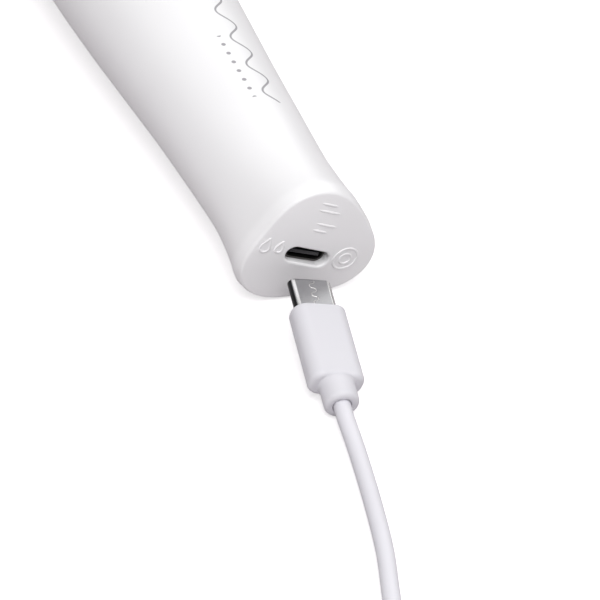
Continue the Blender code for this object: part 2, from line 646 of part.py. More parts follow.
def make_cord(exit_depth):
    """The cord drops from the collar to the table and runs to its coil, which a strap ties."""
    heading = plug.matrix_world.to_3x3() @ Vector((0, 0, 1))
    leave = plug.matrix_world @ Vector((0, 0, exit_depth))
    stations = [leave, leave + heading * 3 * MM, (-9.7 * MM, -167.4 * MM, 1.8 * MM),
                (-12.6 * MM, -179.5 * MM, CORD_HEIGHT), (-16.1 * MM, -192 * MM, CORD_HEIGHT),
                (-20.2 * MM, -203.2 * MM, CORD_HEIGHT), (-24.1 * MM, -215.3 * MM, CORD_HEIGHT),
                (-27.7 * MM, -227.2 * MM, CORD_HEIGHT)]
    tube("charging_cord", smooth_route(stations, 6 * MM), CORD_RADIUS, None, white_cord)
    half = COIL_BUNDLE / 2
    corner = half - COIL_CHAMFER
    section = [(-corner, half), (corner, half), (half, corner), (half, -corner), (corner, -half),
               (-corner, -half), (-half, -corner), (-half, corner)]
    outline = [(COIL_MEAN_RADIUS + across, COIL_FLOOR + half + up) for across, up in section]
    coil = turned("cord_coil", outline, None, white_cord, steps=32, closed=True)
    coil.location = (*COIL_CENTRE, 0)
    make_tie(coil)


def make_tie(coil):
    """A soft strap round the coil's bundle, on the side away from where the cord comes in."""
    inner = COIL_MEAN_RADIUS - COIL_BUNDLE / 2 - 1.1 * MM
    outer = COIL_MEAN_RADIUS + COIL_BUNDLE / 2 + GAP
    low, high = TIE_THICKNESS, COIL_FLOOR + COIL_BUNDLE + GAP
    wall, half = TIE_THICKNESS, TIE_WIDTH / 2
    start, end = (inner - wall, -half, 0.05 * MM), (outer + wall, half, high + wall)
    strap = box_mesh("coil_tie", start, end, 1.2 * MM, axis=1)
    tie = new_piece("coil_tie", strap, coil, grey_silicone)
    tie.rotation_euler = (0, 0, TIE_TURN)
    opening = box_mesh("opening", (inner, -TIE_WIDTH, low), (outer, TIE_WIDTH, high), 0.6 * MM, axis=1)
    cut(tie, opening, rotation=tie.rotation_euler, parent=coil)


def make_usb_a():
    """The USB-A plug at the cord's far end. Its frame's +Z runs from the cord to the plug's mouth."""
    wide, high, length = USB_A_GRIP[0] / 2, USB_A_GRIP[1] / 2, USB_A_GRIP[2]
    grip = box_mesh("usb_a_grip", (-wide, -high, 0), (wide, high, length), 1.8 * MM, axis=2)
    soften(new_piece("usb_a_grip", grip, usb_a, white_silicone), 0.5 * MM)
    start = length + GAP
    wide, high, end = USB_A_SHELL[0] / 2, USB_A_SHELL[1] / 2, start + USB_A_SHELL[2]
    shell = box_mesh("usb_a_shell", (-wide, -high, start), (wide, high, end), 0.4 * MM, axis=2, segments=1)
    shell = new_piece("usb_a_shell", shell, usb_a, chrome)
    inside, roof = wide - USB_A_WALL, high - USB_A_WALL
    cut(shell, box_mesh("hollow", (-inside, -roof, start - MM), (inside, roof, end + MM)))
    half, place = 1.1 * MM, start + 9.2 * MM
    for number, across in ((1, -2.9 * MM), (2, 2.9 * MM)):
        first, last = (across - half, -2 * high, place - half), (across + half, 0, place + half)
        cut(shell, box_mesh(f"window_{number}", first, last))
    wide, high = inside - GAP, roof - GAP
    block = box_mesh("usb_a_insert", (-wide, -high, start), (wide, high, start + 3.4 * MM))
    block = new_piece("usb_a_insert", block, usb_a, black_plastic, smooth=False)
    join(block, box_mesh("tongue", (-wide, 0.05 * MM, start + 2 * MM), (wide, high, end - MM)))
    leave = usb_a.matrix_world @ Vector((0, 0, -GAP))
    heading = usb_a.matrix_world.to_3x3() @ Vector((0, 0, -1))
    stations = [leave, leave + heading * 3 * MM, (-37.2 * MM, -264.4 * MM, 4.5 * MM)]
    tube("charging_cord_end", smooth_route(stations, 3 * MM), CORD_RADIUS, None, white_cord)


clear_scene()
parts = new_collection("wand_massager")
cutters = new_collection("cutters", rendered=False)

white_plastic = new_material("white_plastic", (0.86, 0.85, 0.86), 0.28)
white_silicone = new_material("white_silicone", (0.84, 0.83, 0.86), 0.5)
grey_silicone = new_material("grey_silicone", (0.62, 0.62, 0.64), 0.5)
white_cord = new_material("white_cord", (0.85, 0.84, 0.87), 0.42)
grey_plastic = new_material("grey_plastic", (0.30, 0.31, 0.33), 0.5)
black_plastic = new_material("black_plastic", (0.03, 0.03, 0.035), 0.4)
clear_plastic = new_material("clear_plastic", (0.85, 0.9, 0.95), 0.15)
steel = new_material("steel", (0.62, 0.62, 0.63), 0.3, 1.0)
chrome = new_material("chrome", (0.8, 0.8, 0.81), 0.12, 1.0)
brass = new_material("brass", (0.75, 0.58, 0.28), 0.3, 1.0)
green_board = new_material("green_board", (0.02, 0.18, 0.07), 0.45)
blue_wrap = new_material("blue_wrap", (0.05, 0.16, 0.42), 0.35)
red_wire = new_material("red_wire", (0.6, 0.03, 0.03), 0.4)
black_wire = new_material("black_wire", (0.02, 0.02, 0.02), 0.4)

wand = new_frame("wand_axis", WAND_ORIGIN, (WAND_TILT - math.pi / 2, 0, 0))
front = new_frame("front_axis", rotation=(0, 0, FRONT_TURN), parent=wand)
port_frame = new_frame("port_axis", PORT_PLACE, parent=front)
plug = new_frame("plug_axis", PLUG_TIP)
plug_heading = Vector((-math.sin(PLUG_YAW), -math.cos(PLUG_YAW), -math.tan(PLUG_PITCH)))
plug.rotation_euler = (plug_heading.to_track_quat("Z", "Y").to_matrix()
                       @ Matrix.Rotation(PLUG_ROLL, 3, "Z")).to_euler()
usb_a = new_frame("usb_a_axis", USB_A_PLACE, (math.pi / 2, 0, USB_A_TURN))
bpy.context.view_layer.update()

make_handle()
make_socket()
make_charge_board()
make_chassis()
make_cell()
make_control_board()
make_buttons()
make_neck()
make_head()
make_motor()
make_wires()
make_cord(make_plug())
make_usb_a()
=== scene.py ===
"""The looks of a handheld wand massager lying beside its charging lead.

Every size is in metres. The wand has a frame of its own: +Z runs from its base to its head, and -Y is up.
"""

import json
import math

import bmesh
import bpy
from mathutils import Euler, Matrix, Vector


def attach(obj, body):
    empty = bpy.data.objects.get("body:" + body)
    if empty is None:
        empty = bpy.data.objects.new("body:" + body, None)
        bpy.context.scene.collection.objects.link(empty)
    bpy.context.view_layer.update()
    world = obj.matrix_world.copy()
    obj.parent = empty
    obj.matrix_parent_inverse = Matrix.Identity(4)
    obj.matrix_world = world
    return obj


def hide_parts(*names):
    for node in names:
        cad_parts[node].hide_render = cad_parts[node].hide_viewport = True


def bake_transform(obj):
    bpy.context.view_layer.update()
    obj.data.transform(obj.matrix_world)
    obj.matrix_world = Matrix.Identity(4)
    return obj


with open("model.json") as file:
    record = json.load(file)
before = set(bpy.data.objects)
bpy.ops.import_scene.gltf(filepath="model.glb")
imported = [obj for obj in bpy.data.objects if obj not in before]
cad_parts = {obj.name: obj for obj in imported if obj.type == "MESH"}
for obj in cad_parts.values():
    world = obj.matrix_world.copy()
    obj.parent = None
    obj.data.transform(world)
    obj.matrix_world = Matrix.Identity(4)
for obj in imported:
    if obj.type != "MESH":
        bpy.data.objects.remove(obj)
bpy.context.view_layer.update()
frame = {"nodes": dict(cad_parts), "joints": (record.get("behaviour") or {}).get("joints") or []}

# ---------------------------------------------------------------------------------------------------
# The table, the light and the camera.
# The wand lies on a matt white table under a big soft box, with a weaker one on the far side, in a pale
# room. The camera looks down on the wand's base through a long lens.

MM = 0.001

CAMERA_AIM = Vector((-3.32, -128.95, 4.22)) * MM
CAMERA_DISTANCE = 605.5 * MM
CAMERA_TURN = math.radians(-29.31)
CAMERA_TILT = math.radians(90 - 38.82)
CAMERA_ROLL = math.radians(7.36)
CAMERA_LENS = 198

TABLE_SIZE = 6.0
TABLE_COLOUR = (0.58, 0.555, 0.57, 1)
TABLE_ROUGHNESS = 0.8
TABLE_GLOW = 0.62
BLACK = (0, 0, 0, 1)
WHITE = (1, 1, 1, 1)
ROOM_STOPS = ((0.05, (0.18, 0.155, 0.165, 1)), (0.45, WHITE))
ROOM_STRENGTH = 0.46

# Each soft box's place, size and power.
SOFT_BOXES = {
    "key_light": ((-0.24, -0.62, 1.08), 0.8, 12),
    "far_light": ((0.6, 0.5, 0.8), 0.9, 2.4),
}


def add_camera():
    camera = bpy.data.objects.new("camera", bpy.data.cameras.new("camera"))
    camera.data.lens = CAMERA_LENS
    turn = Matrix.Rotation(CAMERA_TURN, 4, "Z") @ Matrix.Rotation(CAMERA_TILT, 4, "X")
    turn = turn @ Matrix.Rotation(CAMERA_ROLL, 4, "Z")
    camera.matrix_world = Matrix.Translation(CAMERA_AIM + turn.col[2].xyz * CAMERA_DISTANCE) @ turn
    bpy.context.scene.collection.objects.link(camera)
    bpy.context.scene.camera = camera


def add_soft_box(name, place, size, power):
    """A square area light that faces the wand's base."""
    lamp = bpy.data.lights.new(name, "AREA")
    lamp.size = size
    lamp.energy = power
    light = bpy.data.objects.new(name, lamp)
    light.location = place
    light.rotation_euler = (Vector(place) - CAMERA_AIM).to_track_quat("Z", "Y").to_euler()
    bpy.context.scene.collection.objects.link(light)


def add_table():
    """A matt white table that also glows, but only to the camera."""
    bpy.ops.mesh.primitive_plane_add(size=TABLE_SIZE)
    table = bpy.context.object
    table.name = "table"
    material = bpy.data.materials.new("table_white")
    material.use_nodes = True
    shader = material.node_tree.nodes["Principled BSDF"]
    shader.inputs["Base Color"].default_value = TABLE_COLOUR
    shader.inputs["Roughness"].default_value = TABLE_ROUGHNESS
    shader.inputs["Emission Strength"].default_value = TABLE_GLOW
    seen = material.node_tree.nodes.new("ShaderNodeLightPath")
    glow = material.node_tree.nodes.new("ShaderNodeMix")
    glow.data_type = "RGBA"
    glow.inputs[6].default_value = BLACK
    glow.inputs[7].default_value = WHITE
    material.node_tree.links.new(seen.outputs["Is Camera Ray"], glow.inputs[0])
    material.node_tree.links.new(glow.outputs[2], shader.inputs["Emission Color"])
    table.data.materials.append(material)


def light_room():
    """A pale room, whiter overhead than at the height of the table."""
    world = bpy.data.worlds.new("room")
    world.use_nodes = True
    tree = world.node_tree
    place = tree.nodes.new("ShaderNodeTexCoord")
    height = tree.nodes.new("ShaderNodeSeparateXYZ")
    ramp = tree.nodes.new("ShaderNodeValToRGB")
    for stop, (position, colour) in zip(ramp.color_ramp.elements, ROOM_STOPS):
        stop.position = position
        stop.color = colour
    tree.links.new(place.outputs["Generated"], height.inputs[0])
    tree.links.new(height.outputs["Z"], ramp.inputs[0])
    tree.links.new(ramp.outputs[0], tree.nodes["Background"].inputs["Color"])
    tree.nodes["Background"].inputs["Strength"].default_value = ROOM_STRENGTH
    bpy.context.scene.world = world


add_camera()
add_table()
light_room()
for light_name, light_values in SOFT_BOXES.items():
    add_soft_box(light_name, *light_values)
bpy.context.scene.view_settings.view_transform = "Standard"

# ---------------------------------------------------------------------------------------------------
# The handle's shell.
# One seamless moulding in satin white plastic, round along its length and softly three-lobed at its base,
# with a domed end that leans a little. The port and the button holes have rounded edges.

joints = {joint["name"]: joint for joint in frame["joints"]}
along = Vector(joints["motor_spin"]["axis"])
pivot = Vector(joints["neck_bend"]["pos_m"])
outward = -Vector(joints["power_button_press"]["axis"])

NECK_PIVOT = 170 * MM
wand_origin = pivot - NECK_PIVOT * along


def frame_of(up):
    """The wand's frame, turned about its length so that its -Y points along up."""
    y = -(up - up.dot(along) * along).normalized()
    turn = Matrix((y.cross(along), y, along)).transposed().to_4x4()
    return Matrix.Translation(wand_origin) @ turn


wand = frame_of(Vector((0, 0, 1)))
front = frame_of(outward)

HANDLE_PROFILE = (
    (0, 12.95), (1.5, 13.25), (4, 12.95), (9, 12.5), (16, 12.2), (30, 12.75), (43, 13.4), (57, 14.35),
    (73, 15.4), (90, 16.1), (112, 16.3), (130, 15.9), (145, 14.6), (154, 12.9), (158, 11.5),
)
HANDLE_WALL = 1.8 * MM
HANDLE_SIDES = 96
HANDLE_STEP = 1.2 * MM
INSIDE_START = 4 * MM
INSIDE_STEP = 2.5 * MM
INSIDE_FLOOR = 0.4 * MM
DOME_STEPS = 26
RIM_STEPS = 8
LOBE_DEPTH = 0.096
LOBE_FADE = 21 * MM
BASE_FILLET = 1.0 * MM
BASE_EDGE = 0.65 * MM
BASE_DOME = 0.9 * MM
FACE_SLOPE_X = -0.071
FACE_SLOPE_Y = 0.038
FACE_FADE = 14 * MM
PORT_PLACE = (-0.4 * MM, 1.25 * MM)
PORT_WIDTH = 9.2 * MM
PORT_HEIGHT = 3.5 * MM
PORT_EDGE = 0.42 * MM
PORT_DEPTH = 3.5 * MM
BUTTONS = {
    "power_button": (133 * MM, 5.0 * MM),
    "plus_button": (119.5 * MM, 4.2 * MM),
    "minus_button": (107 * MM, 4.2 * MM),
}
BUTTON_GAP = 0.35 * MM
HOLE_EDGE = 0.3 * MM
HOLE_DEPTH = 4 * MM
HOLE_SIDES = 40
LED_PLACE = 144.5 * MM
LED_RADIUS = 1.2 * MM


class Signal:
    """A value, vector or colour in a material's nodes. Arithmetic on values adds Math nodes."""

    def __init__(self, socket):
        self.socket = socket

    def node(self, kind, settings, inputs, output=0):
        """Adds a node, makes its settings, then gives its sockets their values or links."""
        tree = self.socket.id_data
        made = tree.nodes.new(kind)
        for name, value in settings.items():
            if name == "stops":
                for stop, (position, colour) in zip(made.color_ramp.elements, value):
                    stop.position = position
                    stop.color = colour
            else:
                setattr(made, name, value)
        for name, value in inputs.items():
            if isinstance(value, Signal):
                tree.links.new(value.socket, made.inputs[name])
            else:
                made.inputs[name].default_value = value
        return Signal(made.outputs[output])

    def maths(self, operation, *values):
        return self.node("ShaderNodeMath", {"operation": operation}, dict(enumerate(values)))

    def __add__(self, other):
        return self.maths("ADD", self, other)

    def __radd__(self, other):
        return self.maths("ADD", other, self)

    def __sub__(self, other):
        return self.maths("SUBTRACT", self, other)

    def __rsub__(self, other):
        return self.maths("SUBTRACT", other, self)

    def __mul__(self, other):
        return self.maths("MULTIPLY", self, other)

    def __rmul__(self, other):
        return self.maths("MULTIPLY", other, self)

    def __truediv__(self, other):
        return self.maths("DIVIDE", self, other)

    def __rtruediv__(self, other):
        return self.maths("DIVIDE", other, self)


def finish(name, **constants):
    """A material with its shader's constants set, and the object coordinates that its pattern starts from."""
    material = bpy.data.materials.new(name)
    material.use_nodes = True
    tree = material.node_tree
    shader = tree.nodes["Principled BSDF"]
    for socket, value in constants.items():
        shader.inputs[socket.replace("_", " ").title().replace("Ior", "IOR")].default_value = value
    return material, Signal(tree.nodes.new("ShaderNodeTexCoord").outputs["Object"])


def feed(material, **signals):
    tree = material.node_tree
    for socket, signal in signals.items():
        tree.links.new(signal.socket, tree.nodes["Principled BSDF"].inputs[socket.replace("_", " ").title()])


def noise(place, scale, detail=2.0, roughness=0.5):
    """Cloudy noise from 0 to 1, with that many clouds to the metre."""
    inputs = {"Vector": place, "Scale": scale, "Detail": detail, "Roughness": roughness}
    return place.node("ShaderNodeTexNoise", {}, inputs)


def soft_step(value, low, high):
    """0 below low, 1 above high, and smooth between them. With low above high, it falls."""
    inputs = {"Value": value, "From Min": low, "From Max": high}
    if low > high:
        inputs.update({"From Min": high, "From Max": low, "To Min": 1.0, "To Max": 0.0})
    return value.node("ShaderNodeMapRange", {"interpolation_type": "SMOOTHSTEP"}, inputs)


def mixed(share, first, second):
    """From the first colour to the second."""
    colours = [(*colour, 1.0) if isinstance(colour, tuple) else colour for colour in (first, second)]
    return share.node("ShaderNodeMix", {"data_type": "RGBA"}, {0: share, 6: colours[0], 7: colours[1]}, 2)


def bump(height, distance, strength=1.0):
    return height.node("ShaderNodeBump", {}, {"Height": height, "Distance": distance, "Strength": strength})


def in_frame(place, matrix):
    """Object coordinates, read in another frame, as X, Y and Z values."""
    inputs = {"Vector": place, "Location": matrix.translation, "Rotation": matrix.to_euler()}
    local = place.node("ShaderNodeMapping", {"vector_type": "TEXTURE"}, inputs)
    return [local.node("ShaderNodeSeparateXYZ", {}, {0: local}, axis) for axis in range(3)]


def smooth_profile(points, place):
    """The radius at a place along a profile of (place, radius) points, on a smooth curve through them."""
    for number in range(len(points) - 1):
        (start, low), (end, high) = points[number], points[number + 1]
        if place <= end:
            break
    before = points[max(number - 1, 0)]
    after = points[min(number + 2, len(points) - 1)]
    slope_start = (high - before[1]) / (end - before[0])
    slope_end = (after[1] - low) / (after[0] - start)
    share, span = (place - start) / (end - start), end - start
    return (
        low * (1 + 2 * share) * (1 - share) ** 2 + slope_start * span * share * (1 - share) ** 2
        + high * share**2 * (3 - 2 * share) - slope_end * span * share**2 * (1 - share)
    )


def handle_radius(place):
    return smooth_profile(HANDLE_PROFILE, place / MM) * MM


def handle_ring(place, radius):
    """One lobed section of the handle. Near the base it leans with the sloping face."""
    lobe = LOBE_DEPTH * math.exp(-max(place, 0) / LOBE_FADE)
    lean = max(0.0, 1 - max(place, 0) / FACE_FADE)
    ring = []
    for side in range(HANDLE_SIDES):
        turn = 2 * math.pi * side / HANDLE_SIDES
        reach = radius * (1 + lobe * math.cos(3 * (turn - math.pi / 2)))
        x, y = reach * math.cos(turn), -reach * math.sin(turn)
        ring.append((x, y, place + lean * (FACE_SLOPE_X * x + FACE_SLOPE_Y * y)))
    return ring


def lofted(name, rings, start=None, end=None, matrix=None, loop=False):
    """A mesh through rings of points. A start or end point closes that end with a fan of triangles."""
    shape = bmesh.new()
    rows = [[shape.verts.new(point) for point in ring] for ring in rings]
    pairs = list(zip(rows, rows[1:])) + ([(rows[-1], rows[0])] if loop else [])
    for first, second in pairs:
        for side in range(len(first)):
            after = (side + 1) % len(first)
            shape.faces.new((first[side], first[after], second[after], second[side]))
    for pole, row in ((start, rows[0]), (end, rows[-1])):
        if pole is not None:
            tip = shape.verts.new(pole)
            for side in range(len(row)):
                shape.faces.new((row[side], row[(side + 1) % len(row)], tip))
    bmesh.ops.recalc_face_normals(shape, faces=shape.faces)
    if shape.calc_volume(signed=True) < 0:
        bmesh.ops.reverse_faces(shape, faces=shape.faces)
    mesh = bpy.data.meshes.new(name)
    shape.to_mesh(mesh)
    shape.free()
    if matrix is not None:
        mesh.transform(matrix)
    return mesh


# Where the domed face of the base meets its rounded rim: the rim's slope there, the radius and the height.
base_radius = handle_radius(0)
rim_slope = math.atan2(2 * BASE_DOME, base_radius)
cap_radius = base_radius - BASE_EDGE * (1 - math.sin(rim_slope))
rim_place = -BASE_FILLET * math.cos(rim_slope)
mouth = HANDLE_PROFILE[-1][0] * MM


def handle_rings():
    """Up the outside from the middle of the base, over the mouth and down the inside."""
    rings = [(rim_place - BASE_DOME * (1 - (step / DOME_STEPS) ** 2), cap_radius * step / DOME_STEPS)
             for step in range(1, DOME_STEPS + 1)]
    for step in range(1, RIM_STEPS + 1):
        bend = rim_slope + (math.pi / 2 - rim_slope) * step / RIM_STEPS
        rings.append((-BASE_FILLET * math.cos(bend), base_radius - BASE_EDGE * (1 - math.sin(bend))))
    count = round(mouth / HANDLE_STEP)
    rings += [(mouth * step / count, handle_radius(mouth * step / count)) for step in range(1, count)]
    lip = handle_radius(mouth)
    rings += [(mouth - 0.25 * MM, lip + 0.12 * MM), (mouth, lip - 0.15 * MM), (mouth, lip - HANDLE_WALL)]
    steps = round((mouth - INSIDE_START) / INSIDE_STEP)
    for step in range(1, steps):
        place = mouth - (mouth - INSIDE_START) * step / steps
        rings.append((place, handle_radius(place) - HANDLE_WALL))
    rings.append((1.2 * MM, base_radius - 1.6 * HANDLE_WALL))
    poles = (0, 0, rim_place - BASE_DOME), (0, 0, INSIDE_FLOOR)
    return [handle_ring(*ring) for ring in rings], poles


def face_depth(x, y):
    """The height of the base's domed face, in the wand's frame."""
    turn = math.atan2(-y, x)
    reach = cap_radius * (1 + LOBE_DEPTH * math.cos(3 * (turn - math.pi / 2)))
    share = math.hypot(x, y) / reach
    return rim_place - BASE_DOME * (1 - share**2) + FACE_SLOPE_X * x + FACE_SLOPE_Y * y


def rounded_outline(width, height, radius, steps=10):
    """A rectangle with round corners, as (across, up) points."""
    points = []
    for corner in range(4):
        across = (width / 2 - radius) * (1, -1, -1, 1)[corner]
        up = (height / 2 - radius) * (1, 1, -1, -1)[corner]
        for step in range(steps + 1):
            turn = math.pi / 2 * (corner + step / steps)
            points.append((across + radius * math.cos(turn), up + radius * math.sin(turn)))
    return points


def rounded_cutter(name, outline, surface, edge, depth):
    """A cutter for a hole with rounded edges. outline gives the hole's points at an offset from its size.

    surface takes a point (across, up) and a level, and gives the point in space at that level above it.
    """
    levels = [(1.5 * MM, edge * 1.6), (0.02 * MM, edge * 1.02)]
    for step in range(1, 8):
        bend = math.pi / 2 * step / 7
        levels.append((-edge * (1 - math.cos(bend)), edge * (1 - math.sin(bend))))
    levels.append((-depth, 0.0))
    rings = [[surface(*point, level) for point in outline(offset)] for level, offset in levels]
    poles = [sum((Vector(point) for point in ring), Vector()) / len(ring) for ring in (rings[0], rings[-1])]
    return lofted(name, rings, *poles)


def cut(mesh, cutters):
    """The mesh with each of the cutters' meshes cut out of it."""
    piece = bpy.data.objects.new("uncut", mesh)
    bpy.context.scene.collection.objects.link(piece)
    helpers = []
    for cutter in cutters:
        helper = bpy.data.objects.new("cutter", cutter)
        bpy.context.scene.collection.objects.link(helper)
        boolean = piece.modifiers.new("cut", "BOOLEAN")
        boolean.solver = "EXACT"
        boolean.object = helper
        helpers.append(helper)
    bpy.context.view_layer.update()
    done = bpy.data.meshes.new_from_object(piece.evaluated_get(bpy.context.evaluated_depsgraph_get()))
    for item in [piece, *helpers]:
        bpy.data.objects.remove(item)
    return done


def shaded(mesh, angle=38):
    mesh.shade_smooth()
    mesh.set_sharp_from_angle(angle=math.radians(angle))
    return mesh


def new_piece(name, mesh, material, body, nodes=(), weighted=False):
    """A finished mesh as a piece that rides on a body and stands for the CAD nodes that it replaces."""
    piece = bpy.data.objects.new(name, shaded(mesh))
    bpy.context.scene.collection.objects.link(piece)
    mesh.materials.clear()
    mesh.materials.append(material)
    if weighted:
        piece.modifiers.new("even_normals", "WEIGHTED_NORMAL").keep_sharp = True
    if body:
        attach(piece, body)
    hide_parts(*nodes)
    return piece


def side_point(across, up, level, place=0.0):
    """A point that far above the handle's side, in the front frame, across and up from a place on it."""
    reach = math.sqrt(handle_radius(place + up) ** 2 - across**2) + level
    return across, -reach, place + up


def arc_points(centre, radius, start=0.0, end=360.0, steps=28):
    """Points along an arc, in degrees, about a centre. A full circle doesn't repeat its first point."""
    count = steps + (end - start < 360)
    turns = [math.radians(start + (end - start) * step / steps) for step in range(count)]
    return [(centre[0] + radius * math.cos(turn), centre[1] + radius * math.sin(turn)) for turn in turns]


def port_point(across, up, level):
    """A point that far below the base's face, given in the front frame and returned in the wand's."""
    x, y, _ = to_wand @ Vector((PORT_PLACE[0] + across, PORT_PLACE[1] + up, 0))
    return x, y, face_depth(x, y) - level


PRINT_GREY = (0.34, 0.33, 0.35)
WAVE_PLACE = -1.2 * MM
WAVE_HEIGHT = 1.45 * MM
WAVE_LENGTH = 8.0 * MM
WAVE_STROKE = 0.42 * MM
WAVE_RUN = (27 * MM, 72 * MM)
DOT_PLACE = -4.9 * MM
DOT_PITCH = 2.6 * MM
DOT_RADIUS = 0.42 * MM
DOT_RUN = (28.6 * MM, 46.8 * MM)
PRINT_BLUR = 0.07 * MM
PRINT_SIDE = (-5 * MM, -6 * MM)


def within(value, run):
    """1 between the two ends of a run, and 0 outside them."""
    return soft_step(value, run[0], run[0] + PRINT_BLUR) * soft_step(value, run[1], run[1] - PRINT_BLUR)


def printed_wave(across, depth, length):
    """A generic print on the side with the buttons: a thin wave, and a row of dots beside it."""
    phase = length * (math.tau / WAVE_LENGTH)
    steep = phase.maths("COSINE", phase) * (WAVE_HEIGHT * math.tau / WAVE_LENGTH)
    slant = steep.maths("SQRT", steep * steep + 1)
    off_line = across - WAVE_PLACE - phase.maths("SINE", phase) * WAVE_HEIGHT
    off_line = off_line.maths("ABSOLUTE", off_line) / slant
    wave = soft_step(off_line, WAVE_STROKE / 2 + PRINT_BLUR, WAVE_STROKE / 2 - PRINT_BLUR)
    beside = across - DOT_PLACE
    off_dot = length.maths("PINGPONG", length, DOT_PITCH / 2)
    off_dot = off_dot.maths("SQRT", off_dot * off_dot + beside * beside)
    dots = soft_step(off_dot, DOT_RADIUS + PRINT_BLUR, DOT_RADIUS - PRINT_BLUR)
    shown = wave * within(length, WAVE_RUN) + dots * within(length, DOT_RUN)
    return shown * soft_step(depth, *PRINT_SIDE)


def handle_finish():
    """Satin white plastic with a fine mould texture, carrying the grey print."""
    material, place = finish("satin_white", Coat_Weight=0.12, Coat_Roughness=0.25)
    across, depth, length = in_frame(place, front)
    tone = noise(place, 60.0, 3.0)
    grain = noise(place, 4200.0, 2.0, 0.6)
    printed = printed_wave(across, depth, length)
    white = mixed(tone, (0.855, 0.848, 0.862), (0.885, 0.878, 0.89))
    feed(
        material,
        Base_Color=mixed(printed, white, PRINT_GREY),
        Roughness=0.34 + 0.07 * noise(place, 900.0) + 0.1 * printed,
        Normal=bump(grain, 0.02 * MM, 0.25),
    )
    return material


def make_handle():
    rings, poles = handle_rings()
    shell = lofted("handle_cover", rings, *poles)

    def port_outline(offset):
        wide, high = PORT_WIDTH + 2 * offset, PORT_HEIGHT + 2 * offset
        return rounded_outline(wide, high, high * 0.49)

    cutters = [rounded_cutter("port_hole", port_outline, port_point, PORT_EDGE, PORT_DEPTH)]
    holes = [(place, radius + BUTTON_GAP) for place, radius in BUTTONS.values()] + [(LED_PLACE, LED_RADIUS)]
    for place, radius in holes:
        hole = rounded_cutter(
            "round_hole",
            lambda offset, radius=radius: arc_points((0, 0), radius + offset, steps=HOLE_SIDES),
            lambda across, up, level, place=place: side_point(across, up, level, place),
            HOLE_EDGE, HOLE_DEPTH,
        )
        hole.transform(wand.inverted() @ front)
        cutters.append(hole)
    shell = cut(shell, cutters)
    shell.transform(wand)
    new_piece("handle_cover", shell, handle_finish(), "handle", ["handle_shell"], True)


to_wand = wand.inverted() @ front
make_handle()

# ---------------------------------------------------------------------------------------------------
# The marks on the base.
# Plain raised marks, moulded with the shell in place of the usual approval marks: a column of bars, a ring
# with a bead in it, and two drops. They stand a little above the face and their edges are round.

MARK_WIDTH = 0.5 * MM
MARK_RISE = 0.16 * MM
MARK_FOOT = 0.15 * MM
MARK_TAPER = 0.35
BARS = (
    (-4.0 * MM, -10.9 * MM, 3.4 * MM), (-4.0 * MM, -9.4 * MM, 4.8 * MM),
    (-2.9 * MM, -6.5 * MM, 4.4 * MM), (-2.9 * MM, -5.0 * MM, 3.0 * MM),
)
RING_PLACE = (7.6 * MM, 0.1 * MM)
RING_RADIUS = 2.5 * MM
BEAD_RADIUS = 1.2 * MM
DROPS = (((-9.7 * MM, 0.7 * MM), 1.6 * MM), ((-7.0 * MM, 0.3 * MM), 1.3 * MM))


def joined(name, meshes):
    """One mesh of several."""
    shape = bmesh.new()
    for mesh in meshes:
        shape.from_mesh(mesh)
    mesh = bpy.data.meshes.new(name)
    shape.to_mesh(mesh)
    shape.free()
    return mesh


def face_point(across, up):
    """A point on the base's face, given in the front frame and returned in the wand's."""
    x, y, _ = to_wand @ Vector((across, up, 0))
    return Vector((x, y, face_depth(x, y)))


def ridge(name, points, closed, out, width, rise, foot, taper=1.0):
    """A half-round ridge along points on a surface that faces out, with its foot sunk into the surface."""
    rings = []
    last = len(points) - 1
    for number, point in enumerate(points):
        inside = closed or 0 < number < last
        after = points[(number + 1) % len(points)] if closed or number < last else point
        before = points[number - 1] if closed or number else point
        side = (after - before).normalized().cross(out).normalized() * width / 2
        thin = 1.0 if inside else taper
        ring = []
        for step in range(9):
            turn = math.pi * step / 8
            ring.append(point + side * math.cos(turn) * thin + out * math.sin(turn) * rise * thin)
        ring += [point + edge * side * thin - out * foot for edge in (-1, 1)]
        rings.append(ring)
    if closed:
        return lofted(name, rings, loop=True)
    return lofted(name, rings, points[0], points[-1])


def straight_line(start, end, steps=6):
    return [tuple(Vector(start).lerp(Vector(end), step / steps)) for step in range(steps + 1)]


def drop_line(centre, size):
    """The outline of a drop, with its point up."""
    points = []
    for step in range(32):
        turn = math.tau * step / 32
        pinch = math.sin(turn / 2) ** 1.3
        points.append((centre[0] + size * math.sin(turn) * pinch * 0.75, centre[1] - size * math.cos(turn)))
    return points


def make_marks():
    lines = [(straight_line((low, up), (low + long, up)), False) for low, up, long in BARS]
    lines.append((arc_points(RING_PLACE, RING_RADIUS), True))
    lines.append((arc_points(RING_PLACE, BEAD_RADIUS, steps=20), True))
    lines += [(drop_line(*drop), True) for drop in DROPS]
    ridges = []
    for line, closed in lines:
        points = [face_point(*point) for point in line]
        out = Vector((0, 0, -1))
        ridges.append(ridge("mark", points, closed, out, MARK_WIDTH, MARK_RISE, MARK_FOOT, MARK_TAPER))
    mesh = joined("base_marks", ridges)
    mesh.transform(wand)
    new_piece("base_marks", mesh, bpy.data.materials["satin_white"], "handle")


make_marks()

# ---------------------------------------------------------------------------------------------------
# The charging port.
# A socket of drawn steel with a black contact tongue, soldered to a small board inside the base. Its steel
# is painted near black, as painted shade for the deep port.
# The socket stops just behind the port's rounded edge.

STEEL_GREY = (0.50, 0.50, 0.51)
SOCKET_SIZE = (8.94 * MM, 3.26 * MM)
SOCKET_WALL = 0.35 * MM
SOCKET_MOUTH = -0.3 * MM
SOCKET_LENGTH = 6.5 * MM
SOCKET_CHAMFER = 0.1 * MM


